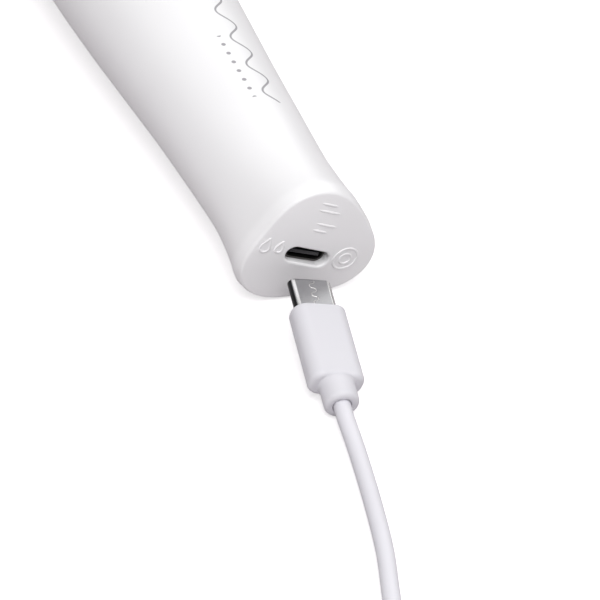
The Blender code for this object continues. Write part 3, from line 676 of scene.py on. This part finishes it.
def streaks_in(place, run, scale=900.0):
    """Fine streaks, from 0 to 1, along the direction that has the smallest run value."""
    stretched = place.node("ShaderNodeMapping", {"vector_type": "POINT"}, {"Vector": place, "Scale": run})
    return noise(stretched, scale, 3.0, 0.6)


def metal(name, colour, roughness, run=(1.0, 1.0, 1.0), scale=900.0, depth=0.004 * MM):
    """A metal with fine streaks and a faint stain."""
    material, place = finish(name, Metallic=1.0)
    streak = streaks_in(place, run, scale)
    stain = noise(place, 160.0, 2.0)
    dark = tuple(channel * 0.86 for channel in colour)
    feed(
        material,
        Base_Color=mixed(streak * 0.6 + stain * 0.4, dark, colour),
        Roughness=roughness + 0.08 * stain + 0.06 * streak,
        Normal=bump(streak, depth, 0.3),
    )
    return material


def moulded(name, colour, roughness, grain=3600.0, depth=0.015 * MM, spread=0.03, **constants):
    """A moulded plastic or rubber with a faint change of tone and a fine, even texture."""
    material, place = finish(name, **constants)
    tone = noise(place, 70.0, 3.0)
    texture = noise(place, grain, 2.0, 0.6)
    dark = tuple(channel * (1 - 2 * spread) for channel in colour)
    feed(
        material,
        Base_Color=mixed(tone, dark, colour),
        Roughness=roughness + 0.08 * noise(place, 700.0) + 0.03 * texture,
        Normal=bump(texture, depth, 0.3),
    )
    return material


def dress(node, material):
    """Gives a CAD node that stays as it is its finish."""
    piece = frame["nodes"][node]
    for number in range(max(1, len(piece.material_slots))):
        if not piece.material_slots:
            piece.data.materials.append(material)
        piece.material_slots[number].material = material
    return piece


def box_rings(sections, steps=12):
    """Rings of round-cornered rectangles, from (depth, width, height, corner) sections."""
    return [[(x, y, depth) for x, y in rounded_outline(width, height, corner, steps)]
            for depth, width, height, corner in sections]


def make_socket():
    wide, high = SOCKET_SIZE
    back = SOCKET_MOUTH + SOCKET_LENGTH
    bevel = SOCKET_MOUTH + SOCKET_CHAMFER
    corner = high / 2 - 0.02 * MM
    inset = SOCKET_CHAMFER
    sections = [(back, wide, high, corner), (bevel, wide, high, corner),
                (SOCKET_MOUTH, wide - 2 * inset, high - 2 * inset, corner - inset)]
    wide, high = wide - 2 * SOCKET_WALL, high - 2 * SOCKET_WALL
    sections += [(depth, wide, high, high / 2 - 0.02 * MM) for depth in (bevel, back)]
    place = front @ Matrix.Translation((*PORT_PLACE, 0))
    socket = lofted("charging_socket", box_rings(sections), matrix=place, loop=True)
    new_piece("charging_socket", socket, shade_dark_steel, "handle", ["usb_c_socket"])


# The charging socket's steel is painted near black: painted shade for the shade inside the port.
shade_dark_steel = metal("shade_dark_steel", (0.13, 0.125, 0.12), 0.42, (1.0, 0.12, 1.0))
black_plastic = moulded("black_plastic", (0.025, 0.025, 0.028), 0.36)
make_socket()
dress("usb_c_tongue", black_plastic)

# ---------------------------------------------------------------------------------------------------
# The buttons and the charge light.
# Three soft grey caps stand just proud of the handle, each moulded with a plain raised sign.
# A clear pipe brings the light of the status LED up to the surface.

BUTTON_RISE = 0.55 * MM
SIGN_RISE = 0.14 * MM
SIGN_WIDTH = 0.55 * MM
SIGN_FOOT = 0.3 * MM
SIGN_HALF = 1.7 * MM
SIGN_RING = 1.9 * MM
BUTTON_HEIGHT = 5.2 * MM
BUTTON_EDGE = 0.7 * MM
PIPE_CLEARANCE = 0.02 * MM
PIPE_FOOT = 8.4 * MM


def turned_mesh(name, outline, matrix, sides=64, loop=False):
    """An outline of (radius, height) points, turned about Z. It closes at its first and last point."""
    rings = []
    for radius, height in outline:
        turns = [math.tau * side / sides for side in range(sides)]
        rings.append([(radius * math.cos(turn), radius * math.sin(turn), height) for turn in turns])
    if loop:
        return lofted(name, rings, matrix=matrix, loop=True)
    return lofted(name, rings[1:-1], (0, 0, outline[0][1]), (0, 0, outline[-1][1]), matrix)


def button_signs(name, crown, place):
    """The raised signs on a button's crown: a bar, a cross, or an open ring with a stem."""
    level = straight_line((-SIGN_HALF, 0), (SIGN_HALF, 0))
    upright = straight_line((0, -SIGN_HALF), (0, SIGN_HALF))
    ring = arc_points((0, 0), SIGN_RING, 120, 420)
    stem = straight_line((0, 0.5 * MM), (0, 2.5 * MM))
    lines = {"minus_button": [level], "plus_button": [level, upright], "power_button": [ring, stem]}[name]
    signs = []
    for line in lines:
        points = [Vector((across, -crown, place + up)) for across, up in line]
        signs.append(ridge(name, points, False, Vector((0, -1, 0)), SIGN_WIDTH, SIGN_RISE, SIGN_FOOT))
    return signs


def make_buttons():
    soft_grey = moulded("soft_grey", (0.56, 0.56, 0.585), 0.46, grain=5200.0)
    for name, (place, radius) in BUTTONS.items():
        crown = handle_radius(place) + BUTTON_RISE
        foot = crown - BUTTON_HEIGHT
        outline = [(0, crown), (radius * 0.3, crown - 0.02 * MM), (radius * 0.6, crown - 0.08 * MM)]
        outline += arc_points((radius - BUTTON_EDGE, crown - 0.15 * MM - BUTTON_EDGE), BUTTON_EDGE, 80, 0, 7)
        outline += [(radius, foot + 0.2 * MM), (radius - 0.2 * MM, foot), (0, foot)]
        turn = Matrix.Translation((0, 0, place)) @ Matrix.Rotation(math.pi / 2, 4, "X")
        cap = turned_mesh(name, outline, turn)
        cap = joined(f"{name}_cap", [cap, *button_signs(name, crown - 0.03 * MM, place)])
        cap.transform(front)
        new_piece(f"{name}_cap", cap, soft_grey, name, [name])


def make_light_pipe():
    material, place = finish("clear_pipe", Roughness=0.12, IOR=1.49, Transmission_Weight=0.7)
    cloud = noise(place, 1500.0)
    feed(
        material,
        Base_Color=mixed(cloud, (0.80, 0.86, 0.90), (0.92, 0.95, 0.97)),
        Normal=bump(cloud, 0.01 * MM, 0.2),
    )
    top = handle_radius(LED_PLACE) + 0.05 * MM
    side = LED_RADIUS - PIPE_CLEARANCE
    outline = [(0, top + 0.16 * MM), (0.6 * MM, top + 0.11 * MM), (1.0 * MM, top)]
    outline += [(side, top - 0.2 * MM), (side, PIPE_FOOT), (0, PIPE_FOOT)]
    turn = Matrix.Translation((0, 0, LED_PLACE)) @ Matrix.Rotation(math.pi / 2, 4, "X")
    pipe = turned_mesh("light_pipe", outline, front @ turn, 32)
    new_piece("light_pipe", pipe, material, "handle", ["led_window"])


make_buttons()
make_light_pipe()

# ---------------------------------------------------------------------------------------------------
# The neck.
# A polished trim ring closes the handle's mouth and holds the socket of a ball joint. A ribbed sleeve of
# soft silicone hides the joint: its ends are gripped by the ring and by the head.

COLLAR_LIP = 12.0 * MM
SLEEVE_RADIUS = 11.2 * MM
SLEEVE_START = 160.2 * MM
SLEEVE_END = 184.1 * MM
SLEEVE_RIBS = 5
SLEEVE_BORE = 9.85 * MM
RIB_DEPTH = 0.85 * MM
SLEEVE_WAIST = 0.35 * MM
SLEEVE_STEPS = 90
TRIM_BORE = 7.9 * MM
TRIM_SPIGOT = 9.3 * MM
TRIM_EDGE = 0.5 * MM
TRIM_DEPTH = 3.0 * MM
TRIM_HEIGHT = (0.12 * MM, 1.9 * MM)


def make_collar():
    low, high = mouth + TRIM_HEIGHT[0], mouth + TRIM_HEIGHT[1]
    outline = arc_points((COLLAR_LIP - TRIM_EDGE, low + TRIM_EDGE), TRIM_EDGE, -90, 0, 6)
    outline += arc_points((COLLAR_LIP - TRIM_EDGE, high - TRIM_EDGE), TRIM_EDGE, 0, 90, 6)
    foot = mouth - TRIM_DEPTH
    outline += [(TRIM_BORE, high), (TRIM_BORE, foot), (TRIM_SPIGOT, foot), (TRIM_SPIGOT, low)]
    ring = turned_mesh("trim_ring", outline, wand, 96, loop=True)
    new_piece("trim_ring", ring, polished, "handle", ["neck_collar"])


def make_sleeve():
    """The ribbed sleeve, closed over its wall, which blends from the handle to the head."""
    outline = []
    length = SLEEVE_END - SLEEVE_START
    for step in range(SLEEVE_STEPS + 1):
        share = step / SLEEVE_STEPS
        rib = 0.5 - 0.5 * math.cos(math.tau * SLEEVE_RIBS * share)
        waist = SLEEVE_WAIST * math.sin(math.pi * share)
        outline.append((SLEEVE_RADIUS - waist - RIB_DEPTH * rib, SLEEVE_START + length * share))
    outline += [(SLEEVE_BORE, SLEEVE_END - length * step / 12) for step in range(13)]
    sleeve = turned_mesh("ribbed_sleeve", outline, wand, 96, loop=True)
    piece = new_piece("ribbed_sleeve", sleeve, soft_white, None, ["neck_sleeve"])
    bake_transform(piece)


polished = metal("polished_trim", (0.78, 0.78, 0.79), 0.08, scale=500.0, depth=0.001 * MM)
soft_white = moulded("soft_white", (0.83, 0.82, 0.845), 0.5, grain=4800.0, depth=0.02 * MM, Sheen_Weight=0.1)
make_collar()
make_sleeve()

# ---------------------------------------------------------------------------------------------------
# The head.
# A thick skin of soft silicone is moulded over two hard cups that hold the motor. It is one smooth round
# form with a fine matt texture and three shallow grooves round its widest part.

HEAD_START = 184.4 * MM
HEAD_END = 250 * MM
HEAD_RADIUS = 22 * MM
HEAD_DOME = 15.5 * MM
HEAD_SHOULDER = 14 * MM
HEAD_NECK = 11.6 * MM
HEAD_MOUTH = 9.6 * MM
GROOVES = (207 * MM, 212 * MM, 217 * MM)
GROOVE_DEPTH = 0.45 * MM
GROOVE_WIDTH = 0.9 * MM
SKIN_THICKNESS = 2.2 * MM


def head_outline(inset, grooves=()):
    """The head's profile from its crown down to its neck, moved in by the inset."""
    radius, crown, shoulder = HEAD_RADIUS - inset, HEAD_END - inset, HEAD_SHOULDER - inset
    outline = []
    for step in range(0, 49):
        bend = math.pi / 2 * step / 48
        outline.append((radius * math.sin(bend) ** 0.85, crown - HEAD_DOME + HEAD_DOME * math.cos(bend)))
    low = HEAD_START + inset
    top, foot = outline[-1][1], low + shoulder
    for step in range(1, 61):
        place = top + (foot - top) * step / 61
        dip = sum(math.exp(-(((place - groove) / GROOVE_WIDTH) ** 2) * 3) for groove in grooves)
        outline.append((radius - GROOVE_DEPTH * dip, place))
    for step in range(0, 41):
        bend = math.pi / 2 * step / 40
        pull = (radius - HEAD_NECK) * (1 - math.cos(bend))
        outline.append((radius - pull, low + shoulder * (1 - math.sin(bend))))
    return outline


def make_head():
    outer = head_outline(0, GROOVES)
    inner = head_outline(SKIN_THICKNESS)[::4]
    outline = outer + [(HEAD_MOUTH, outer[-1][1]), (HEAD_MOUTH, inner[-1][1])] + inner[::-1]
    head = turned_mesh("head_cover", outline, wand, 128)
    new_piece("head_cover", head, soft_white, "head", ["head_skin"])


make_head()

# ---------------------------------------------------------------------------------------------------
# What the head holds.
# A can motor is clamped in the lower cup with two screws. Its shaft turns a half-round brass weight, which
# is what makes the head shake. The cups and the ball joint's two halves are moulded in grey plastic.

grey_plastic = moulded("grey_plastic", (0.20, 0.21, 0.225), 0.48, grain=2600.0)
turned_steel = metal("turned_steel", STEEL_GREY, 0.3, (1.0, 0.1, 1.0), 1400.0)
brass = metal("sintered_brass", (0.62, 0.45, 0.20), 0.38, scale=2600.0, depth=0.01 * MM)
for node in ("head_core_upper", "head_core_lower", "motor_clamp", "neck_socket", "neck_ball"):
    dress(node, grey_plastic)
for node in ("motor_can", "motor_shaft", "clamp_screw_1", "clamp_screw_2"):
    dress(node, turned_steel)
dress("off_centre_weight", brass)
dress("motor_end_cap", black_plastic)

# ---------------------------------------------------------------------------------------------------
# What the handle holds.
# Two half-round trays carry a wrapped lithium cell with a nickel tab at each end. Two green circuit boards
# carry the charging chip and the three switches, and thin red and black wires join them to the motor.

BOARD_GREEN = (0.012, 0.105, 0.045)
TRACK_GREEN = (0.03, 0.19, 0.075)
TRACKS_PER_METRE = 420.0


def circuit_board():
    """Green solder mask over a grid of copper tracks, with small bright pads."""
    material, place = finish("circuit_board", Coat_Weight=0.4, Coat_Roughness=0.12)
    across, _, length = in_frame(place, front)
    grid = place.node("ShaderNodeCombineXYZ", {}, {0: across, 1: length, 2: 0.0})
    tracks = grid.node("ShaderNodeTexBrick", {"offset": 0.37}, {
        "Vector": grid, "Scale": TRACKS_PER_METRE,
        "Mortar Size": 0.05, "Brick Width": 1.9, "Row Height": 0.55,
    }, 1)
    pads = grid.node("ShaderNodeTexVoronoi", {"feature": "F1"}, {
        "Vector": grid, "Scale": TRACKS_PER_METRE, "Randomness": 0.25,
    })
    pad = soft_step(pads, 0.17, 0.13) * soft_step(noise(grid, 160.0), 0.5, 0.54)
    masked = mixed(tracks, BOARD_GREEN, TRACK_GREEN)
    feed(
        material,
        Base_Color=mixed(pad, masked, (0.72, 0.66, 0.50)),
        Metallic=pad,
        Roughness=0.4 - 0.1 * pad + 0.05 * noise(grid, 900.0),
        Normal=bump(tracks + pad, 0.03 * MM, 0.5),
    )
    return material


def cell_wrap():
    """Shrunk blue film with faint creases round the cell."""
    material, place = finish("cell_wrap", Coat_Weight=0.5, Coat_Roughness=0.1)
    crease = place.node("ShaderNodeTexWave", {"bands_direction": "Y"}, {
        "Vector": place, "Scale": 60.0, "Distortion": 9.0, "Detail": 2.0,
    }, 1)
    feed(
        material,
        Base_Color=mixed(crease, (0.020, 0.075, 0.26), (0.030, 0.105, 0.33)),
        Roughness=0.3 + 0.08 * noise(place, 500.0),
        Normal=bump(crease, 0.05 * MM, 0.25),
    )
    return material


board_green = circuit_board()
cell_blue = cell_wrap()
red_wire = moulded("red_wire", (0.50, 0.018, 0.018), 0.36)
black_wire = moulded("black_wire", (0.018, 0.018, 0.02), 0.36)
lamp_clear = moulded("lamp_clear", (0.78, 0.84, 0.80), 0.18, Transmission_Weight=0.4)
dress("control_board", board_green)
dress("charge_board", board_green)
dress("battery_cell", cell_blue)
dress("status_led", lamp_clear)
for node in ("chassis_front", "chassis_rear", "board_bracket"):
    dress(node, grey_plastic)
for node in ("charge_chip", "power_switch", "plus_switch", "minus_switch"):
    dress(node, black_plastic)
for node in ("battery_tab_positive", "battery_tab_negative", "board_screw_1", "board_screw_2",
             "charge_board_screw_1", "charge_board_screw_2"):
    dress(node, turned_steel)
for colour, material in (("red", red_wire), ("black", black_wire)):
    for node in (f"charge_lead_{colour}", f"motor_lead_{colour}_handle", f"motor_lead_{colour}_head"):
        dress(node, material)

# ---------------------------------------------------------------------------------------------------
# The plug that goes into the wand.
# A drawn and nickel-plated steel mouth, closed by a winding seam down the middle of its broad face, round
# a black insert. A soft white grip is moulded over its back, and a short round collar leads to the cord.

PLUG_TIP = Vector((-1.9, -128.8, 7.6)) * MM
PLUG_YAW = math.radians(12)
PLUG_PITCH = math.radians(8.5)
PLUG_ROLL = math.radians(-10)
PLUG_WIDTH = 8.25 * MM
PLUG_HEIGHT = 2.4 * MM
PLUG_REACH = 7.0 * MM
PLUG_GAP = 0.3 * MM
PLUG_WALL = 0.28 * MM
PLUG_LIP = 0.12 * MM
PLUG_TAIL = 0.4 * MM
# Across the plug's face: where the painted highlight band starts and ends, and where the painted dark
# reflection starts.
HIGHLIGHT_BAND = (3.05 * MM, 3.2 * MM, 3.6 * MM, 3.75 * MM)
DARK_REFLECTION_EDGE = (3.7 * MM, 3.85 * MM)
SEAM_WIDTH = 0.16 * MM
SEAM_RISE = 0.035 * MM
SEAM_SINK = 0.01 * MM
SEAM_START = 0.35 * MM
SEAM_STEP = 0.095 * MM
SEAM_WAVE = 2.1 * MM
SEAM_SWING = 0.55 * MM
GRIP_WIDTH = 10.5 * MM
GRIP_HEIGHT = 5.9 * MM
GRIP_LENGTH = 17.4 * MM
COLLAR_RADIUS = 3.25 * MM
COLLAR_LENGTH = 4.6 * MM
COLLAR_EDGE = 0.9 * MM
GRIP_FRONT_EDGE = 0.55 * MM
GRIP_BACK_EDGE = 0.95 * MM
CORD_RADIUS = 1.6 * MM


def plug_frame():
    """+Z runs from the plug's tip to the cord, +X across its broad face, and +Y up out of it."""
    heading = Vector((-math.sin(PLUG_YAW), -math.cos(PLUG_YAW), -math.tan(PLUG_PITCH))).normalized()
    turn = heading.to_track_quat("Z", "Y").to_matrix() @ Matrix.Rotation(PLUG_ROLL, 3, "Z")
    return Matrix.Translation(PLUG_TIP) @ turn.to_4x4()


def plug_plating():
    """Bright nickel. The ends, where the strip curls round, are painted near black as a painted dark
    reflection, and a thin band just inside them is painted near white as a painted highlight.
    """
    material, place = finish("plated_steel", Metallic=1.0)
    across = in_frame(place, plug)[0]
    off = across.maths("ABSOLUTE", across)
    streak = streaks_in(place, (1.0, 0.2, 1.0))
    stain = noise(place, 200.0)
    face = mixed(streak * 0.5 + stain * 0.5, (0.40, 0.40, 0.41), (0.50, 0.50, 0.51))
    # A thin band near each side is painted near white: a painted highlight.
    painted_highlight = soft_step(off, *HIGHLIGHT_BAND[:2]) * soft_step(off, HIGHLIGHT_BAND[3], HIGHLIGHT_BAND[2])
    # Beyond it, the curved ends are painted near black: a painted reflection of a dark surround.
    painted_dark_reflection = soft_step(off, *DARK_REFLECTION_EDGE)
    feed(
        material,
        Base_Color=mixed(painted_dark_reflection, mixed(painted_highlight, face, (0.94, 0.94, 0.93)), (0.03, 0.03, 0.032)),
        Roughness=0.2 + 0.08 * streak + 0.06 * painted_dark_reflection,
        Normal=bump(streak, 0.002 * MM, 0.3),
    )
    return material


def rounded_end(place, edge, inward, size, bends):
    """Sections of a box's rounded end. inward is 1 where the box goes on to higher depths, and -1 if not."""
    width, height, corner = size
    sections = []
    for bend in bends:
        turn = math.radians(bend)
        inset = edge * (1 - math.cos(turn))
        depth = place + inward * edge * (1 - math.sin(turn))
        sections.append((depth, width - 2 * inset, height - 2 * inset, corner - inset))
    return sections


def seam_x(depth):
    """How far the seam swings off the middle at a depth: it dwells at each side and crosses quickly."""
    swing = math.sin(depth / SEAM_WAVE * math.tau)
    return math.copysign(abs(swing) ** 0.35, swing) * SEAM_SWING


def make_plug_seam():
    """A fine bead along the seam, half sunk in the shell's broad face."""
    up = Vector((0, 1, 0))
    level = PLUG_HEIGHT / 2 - SEAM_SINK
    depths = [SEAM_START + step * SEAM_STEP for step in range(int(PLUG_REACH / (0.1 * MM)) + 1)]
    line = [Vector((seam_x(depth), level, depth)) for depth in depths]
    rings = []
    for number, point in enumerate(line):
        run = (line[min(number + 1, len(line) - 1)] - line[max(number - 1, 0)]).normalized()
        side = run.cross(up) * SEAM_WIDTH / 2
        turns = [math.tau * step / 8 for step in range(8)]
        rings.append([point + side * math.cos(turn) + up * math.sin(turn) * SEAM_RISE for turn in turns])
    seam = lofted("plug_seam", rings, line[0], line[-1], matrix=plug)
    return new_piece("plug_seam", seam, seam_metal, "charging_lead")


def make_plug_mouth():
    wide, high, corner = size = (PLUG_WIDTH, PLUG_HEIGHT, PLUG_HEIGHT / 2 - 0.01 * MM)
    tail = PLUG_REACH + PLUG_TAIL
    sections = [(depth, *size) for depth in (tail, PLUG_REACH * 0.97, PLUG_REACH * 0.5, PLUG_REACH * 0.06)]
    sections += rounded_end(0.0, PLUG_LIP, 1, size, (0, 30, 60, 90))
    inner = PLUG_WALL
    for depth in (0.0, 0.15 * MM, tail):
        sections.append((depth, wide - 2 * inner, high - 2 * inner, corner - inner))
        inner = PLUG_WALL + 0.04 * MM
    mouth = lofted("plug_mouth", box_rings(sections), matrix=plug, loop=True)
    return new_piece("plug_mouth", mouth, plated, "charging_lead", ["plug_shell"])


def make_plug_grip():
    """The grip's rounded block. Its front edge is small and its back edge is broad and soft."""
    start = PLUG_REACH + PLUG_GAP
    end = start + GRIP_LENGTH
    size = (GRIP_WIDTH, GRIP_HEIGHT, 0.44 * GRIP_HEIGHT)
    sections = rounded_end(start, GRIP_FRONT_EDGE, 1, size, range(90, -1, -15))
    sections += [(start + GRIP_LENGTH * share, *size) for share in (0.1, 0.3, 0.5, 0.7, 0.9)]
    sections += rounded_end(end, GRIP_BACK_EDGE, -1, size, range(0, 91, 10))
    grip = lofted("plug_grip_cover", box_rings(sections), (0, 0, start), (0, 0, end), plug)
    return new_piece("plug_grip_cover", grip, grip_white, "charging_lead", ["plug_grip"])


def make_plug_collar():
    """The short collar at the grip's back, with a small mouth round the cord."""
    start = PLUG_REACH + PLUG_GAP + GRIP_LENGTH
    end = start + PLUG_GAP + COLLAR_LENGTH
    mouth_foot = end - 0.5 * MM
    outline = [(0, mouth_foot), (CORD_RADIUS + 0.05 * MM, mouth_foot),
               (CORD_RADIUS + 0.25 * MM, end - 0.12 * MM), (CORD_RADIUS + 0.6 * MM, end)]
    outline += arc_points((COLLAR_RADIUS - COLLAR_EDGE, end - COLLAR_EDGE), COLLAR_EDGE, 90, 0, 8)
    outline += [(COLLAR_RADIUS, start + 0.5 * MM), (COLLAR_RADIUS + 0.1 * MM, start + 0.2 * MM),
                (COLLAR_RADIUS + 0.3 * MM, start - 0.02 * MM), (0, start - 0.02 * MM)]
    collar = turned_mesh("plug_collar_cover", outline, plug, 64)
    return new_piece("plug_collar_cover", collar, grip_white, "charging_lead", ["plug_collar"])


plug = plug_frame()
plated = plug_plating()
seam_metal = metal("seam_metal", (0.86, 0.85, 0.83), 0.3, scale=3000.0)
grip_white = moulded("grip_white", (0.70, 0.69, 0.73), 0.52, grain=4200.0, depth=0.02 * MM)
plug_pieces = [make_plug_mouth(), make_plug_seam(), make_plug_grip(), make_plug_collar()]
plug_pieces.append(dress("plug_insert", black_plastic))

# ---------------------------------------------------------------------------------------------------
# The plug at the far end.
# The wider charger plug: a folded and plated steel mouth round a black block with its contact tongue, in the
# same soft white grip as the other plug.

USB_A_PLACE = Vector((-36.2, -271.8, 4.1)) * MM
USB_A_TURN = math.radians(6)
USB_A_GRIP = (15.6 * MM, 8.0 * MM, 1.9 * MM)
USB_A_LENGTH = 21 * MM
USB_A_BACK_EDGE = 1.2 * MM
USB_A_FRONT_EDGE = 0.5 * MM


def make_charger_plug():
    sections = rounded_end(0.0, USB_A_BACK_EDGE, 1, USB_A_GRIP, range(90, -1, -15))
    sections += [(USB_A_LENGTH * share, *USB_A_GRIP) for share in (0.15, 0.5, 0.85)]
    sections += rounded_end(USB_A_LENGTH, USB_A_FRONT_EDGE, -1, USB_A_GRIP, range(0, 91, 15))
    grip = lofted("charger_grip", box_rings(sections, 8), (0, 0, 0), (0, 0, USB_A_LENGTH), charger)
    grip = new_piece("charger_grip", grip, grip_white, "charging_lead", ["usb_a_grip"])
    return [grip, dress("usb_a_shell", folded_steel), dress("usb_a_insert", black_plastic)]


charger = Matrix.Translation(USB_A_PLACE) @ Euler((math.pi / 2, 0, USB_A_TURN)).to_matrix().to_4x4()
folded_steel = metal("folded_steel", (0.55, 0.55, 0.56), 0.2, (1.0, 0.25, 1.0), 700.0, 0.002 * MM)
charger_pieces = make_charger_plug()

# ---------------------------------------------------------------------------------------------------
# The cord.
# A limp white jacket, 3.2 mm thick, with about 0.8 m between the plugs. It drops from the small plug to the
# table and runs to a neat coil of a little over six turns, which a soft strap holds.

CORD_STEP = 2.5 * MM
COIL_CENTRE = Vector((-15, -250, 0)) * MM
COIL_MEAN_RADIUS = 19.1 * MM
COIL_PITCH = 3.25 * MM
COIL_LOW = 2.6 * MM
COIL_START = 150
COIL_END = 190
COIL_CELLS = ((1, 0), (0, 0), (-1, 0), (-1, 1), (-1, 2), (0, 2), (0, 1), (1, 1))
CELL_TURN = 315
CELL_CHANGE = 45
COIL_TURN_STEP = 6


def smooth_route(stations, spacing):
    """Points about one spacing apart on a Catmull-Rom curve through the stations."""
    stations = [Vector(station) for station in stations]
    ends = [2 * stations[0] - stations[1]] + stations + [2 * stations[-1] - stations[-2]]
    route = []
    for before, start, end, after in zip(ends, ends[1:], ends[2:], ends[3:]):
        count = max(1, round((end - start).length / spacing))
        for step in range(count):
            share = step / count
            slope_start, slope_end = (end - before) / 2, (after - start) / 2
            route.append(
                start * (1 + 2 * share) * (1 - share) ** 2 + slope_start * share * (1 - share) ** 2
                + end * share**2 * (3 - 2 * share) - slope_end * share**2 * (1 - share)
            )
    return route + [stations[-1]]


def coil_cell(turned):
    """How far out and how high the cord lies, in strands, once it has turned that far round the coil.

    The strand changes cell over its last 45 degrees in each, so that every cell it enters is already empty.
    """
    first_change = 360 - CELL_CHANGE
    for number, (cell, after) in enumerate(zip(COIL_CELLS, COIL_CELLS[1:])):
        change = first_change + number * CELL_TURN
        if turned < change + CELL_CHANGE:
            share = min(1.0, max(0.0, (turned - change) / CELL_CHANGE))
            share = share * share * (3 - 2 * share)
            return Vector(cell).lerp(Vector(after), share)
    return Vector(COIL_CELLS[-1])


def coil_points():
    points = []
    whole = COIL_END - COIL_START + 360 * (len(COIL_CELLS) - 2)
    for step in range(whole // COIL_TURN_STEP + 1):
        turned = step * COIL_TURN_STEP
        out, up = coil_cell(turned)
        turn = math.radians(COIL_START + turned)
        radius = COIL_MEAN_RADIUS + out * COIL_PITCH
        level = COIL_LOW + up * COIL_PITCH
        points.append(COIL_CENTRE + Vector((radius * math.cos(turn), radius * math.sin(turn), level)))
    return points


def cord_route():
    """From inside the collar's mouth, down to the table, round the coil and up to the far plug."""
    heading = plug.to_3x3() @ Vector((0, 0, 1))
    exit_depth = PLUG_REACH + 3 * PLUG_GAP + GRIP_LENGTH + COLLAR_LENGTH - 0.7 * MM
    leave = plug @ Vector((0, 0, exit_depth))
    stations = [
        leave, leave + heading * 3 * MM, Vector((-9.7, -167.4, 1.8)) * MM, Vector((-12.6, -179.5, 1.7)) * MM,
        Vector((-16.1, -192, 1.7)) * MM, Vector((-20.2, -203.2, 1.7)) * MM, Vector((-24.1, -215.3, 1.7)) * MM,
        Vector((-27.7, -227.2, 1.9)) * MM,
    ]
    turns = coil_points()
    lead_in = smooth_route([*stations, turns[0]], CORD_STEP)
    lead_out = smooth_route([
        turns[-1], Vector((-37.2, -264.4, 4.5)) * MM, charger @ Vector((0, 0, -3.3 * MM)),
        charger @ Vector((0, 0, 0.4 * MM)),
    ], CORD_STEP)
    return lead_in + turns[1:-1] + lead_out


def route_length(route):
    return sum((after - before).length for before, after in zip(route, route[1:]))


def make_cord():
    route = cord_route()
    curve = bpy.data.curves.new("cord", "CURVE")
    curve.dimensions = "3D"
    curve.bevel_depth = CORD_RADIUS
    curve.bevel_resolution = 6
    curve.use_fill_caps = True
    spline = curve.splines.new("POLY")
    spline.points.add(len(route) - 1)
    for point, place in zip(spline.points, route):
        point.co = (*place, 1)
    spline.use_smooth = True
    cord = bpy.data.objects.new("cord", curve)
    bpy.context.scene.collection.objects.link(cord)
    curve.materials.append(cord_white)
    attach(cord, "charging_lead")
    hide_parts("charging_cord", "cord_coil", "charging_cord_end")
    return cord, route


cord_white = moulded("cord_white", (0.75, 0.74, 0.785), 0.42, grain=2200.0, depth=0.01 * MM)
cord, cord_line = make_cord()

# ---------------------------------------------------------------------------------------------------
# The coil's strap.
# A band of soft grey silicone wraps the turns snugly and buttons onto itself with a small stud.

STRAP_WIDTH = 8 * MM
STRAP_THICKNESS = 0.6 * MM
STRAP_TURN = math.radians(20)
STRAP_CORNER = 2.0 * MM
STRAP_EDGE = 0.25 * MM
STRAP_INSIDE = 6.1 * MM
STRAP_OUTSIDE = 5.4 * MM
STRAP_TOP = 11.7 * MM
STUD_RADIUS = 1.3 * MM
STUD_EDGE = 0.3 * MM


def make_strap():
    inner, outer = COIL_MEAN_RADIUS - STRAP_INSIDE, COIL_MEAN_RADIUS + STRAP_OUTSIDE
    low, high = STRAP_THICKNESS / 2 + 0.05 * MM, STRAP_TOP
    middle = ((inner + outer) / 2, (low + high) / 2)
    turn = Matrix.Translation(COIL_CENTRE) @ Matrix.Rotation(STRAP_TURN, 4, "Z")
    turn = turn @ Matrix.Translation((middle[0], 0, middle[1])) @ Matrix.Rotation(math.pi / 2, 4, "X")
    half = STRAP_WIDTH / 2
    rings = []
    for face in (1, -1):
        for side, inset in ((-face, STRAP_EDGE), (-face, 0.0), (face, 0.0), (face, STRAP_EDGE)):
            place = side * (half - (STRAP_EDGE if not inset else 0.0))
            grow = face * (STRAP_THICKNESS / 2 - inset)
            outline = rounded_outline(outer - inner + 2 * grow, high - low + 2 * grow, STRAP_CORNER + grow)
            rings.append([(x, y, place) for x, y in outline])
    band = lofted("coil_strap", rings, matrix=turn, loop=True)
    outline = [(0, 0.75 * MM), (0.8 * MM, 0.72 * MM)]
    outline += arc_points((STUD_RADIUS - STUD_EDGE, 0.4 * MM), STUD_EDGE, 75, 0, 5)
    outline += [(STUD_RADIUS, 0.1 * MM), (STUD_RADIUS - 0.2 * MM, -0.1 * MM), (0, -0.1 * MM)]
    reach = outer - middle[0] + STRAP_THICKNESS / 2 - 0.05 * MM
    seat = turn @ Matrix.Translation((reach, 0, 0)) @ Matrix.Rotation(math.pi / 2, 4, "Y")
    stud = turned_mesh("stud", outline, seat, 32)
    strap = joined("coil_strap", [band, stud])
    return new_piece("coil_strap", strap, strap_grey, "charging_lead", ["coil_tie"])


strap_grey = moulded("strap_grey", (0.50, 0.50, 0.52), 0.5, grain=3000.0)
strap = make_strap()
round(route_length(cord_line), 3)
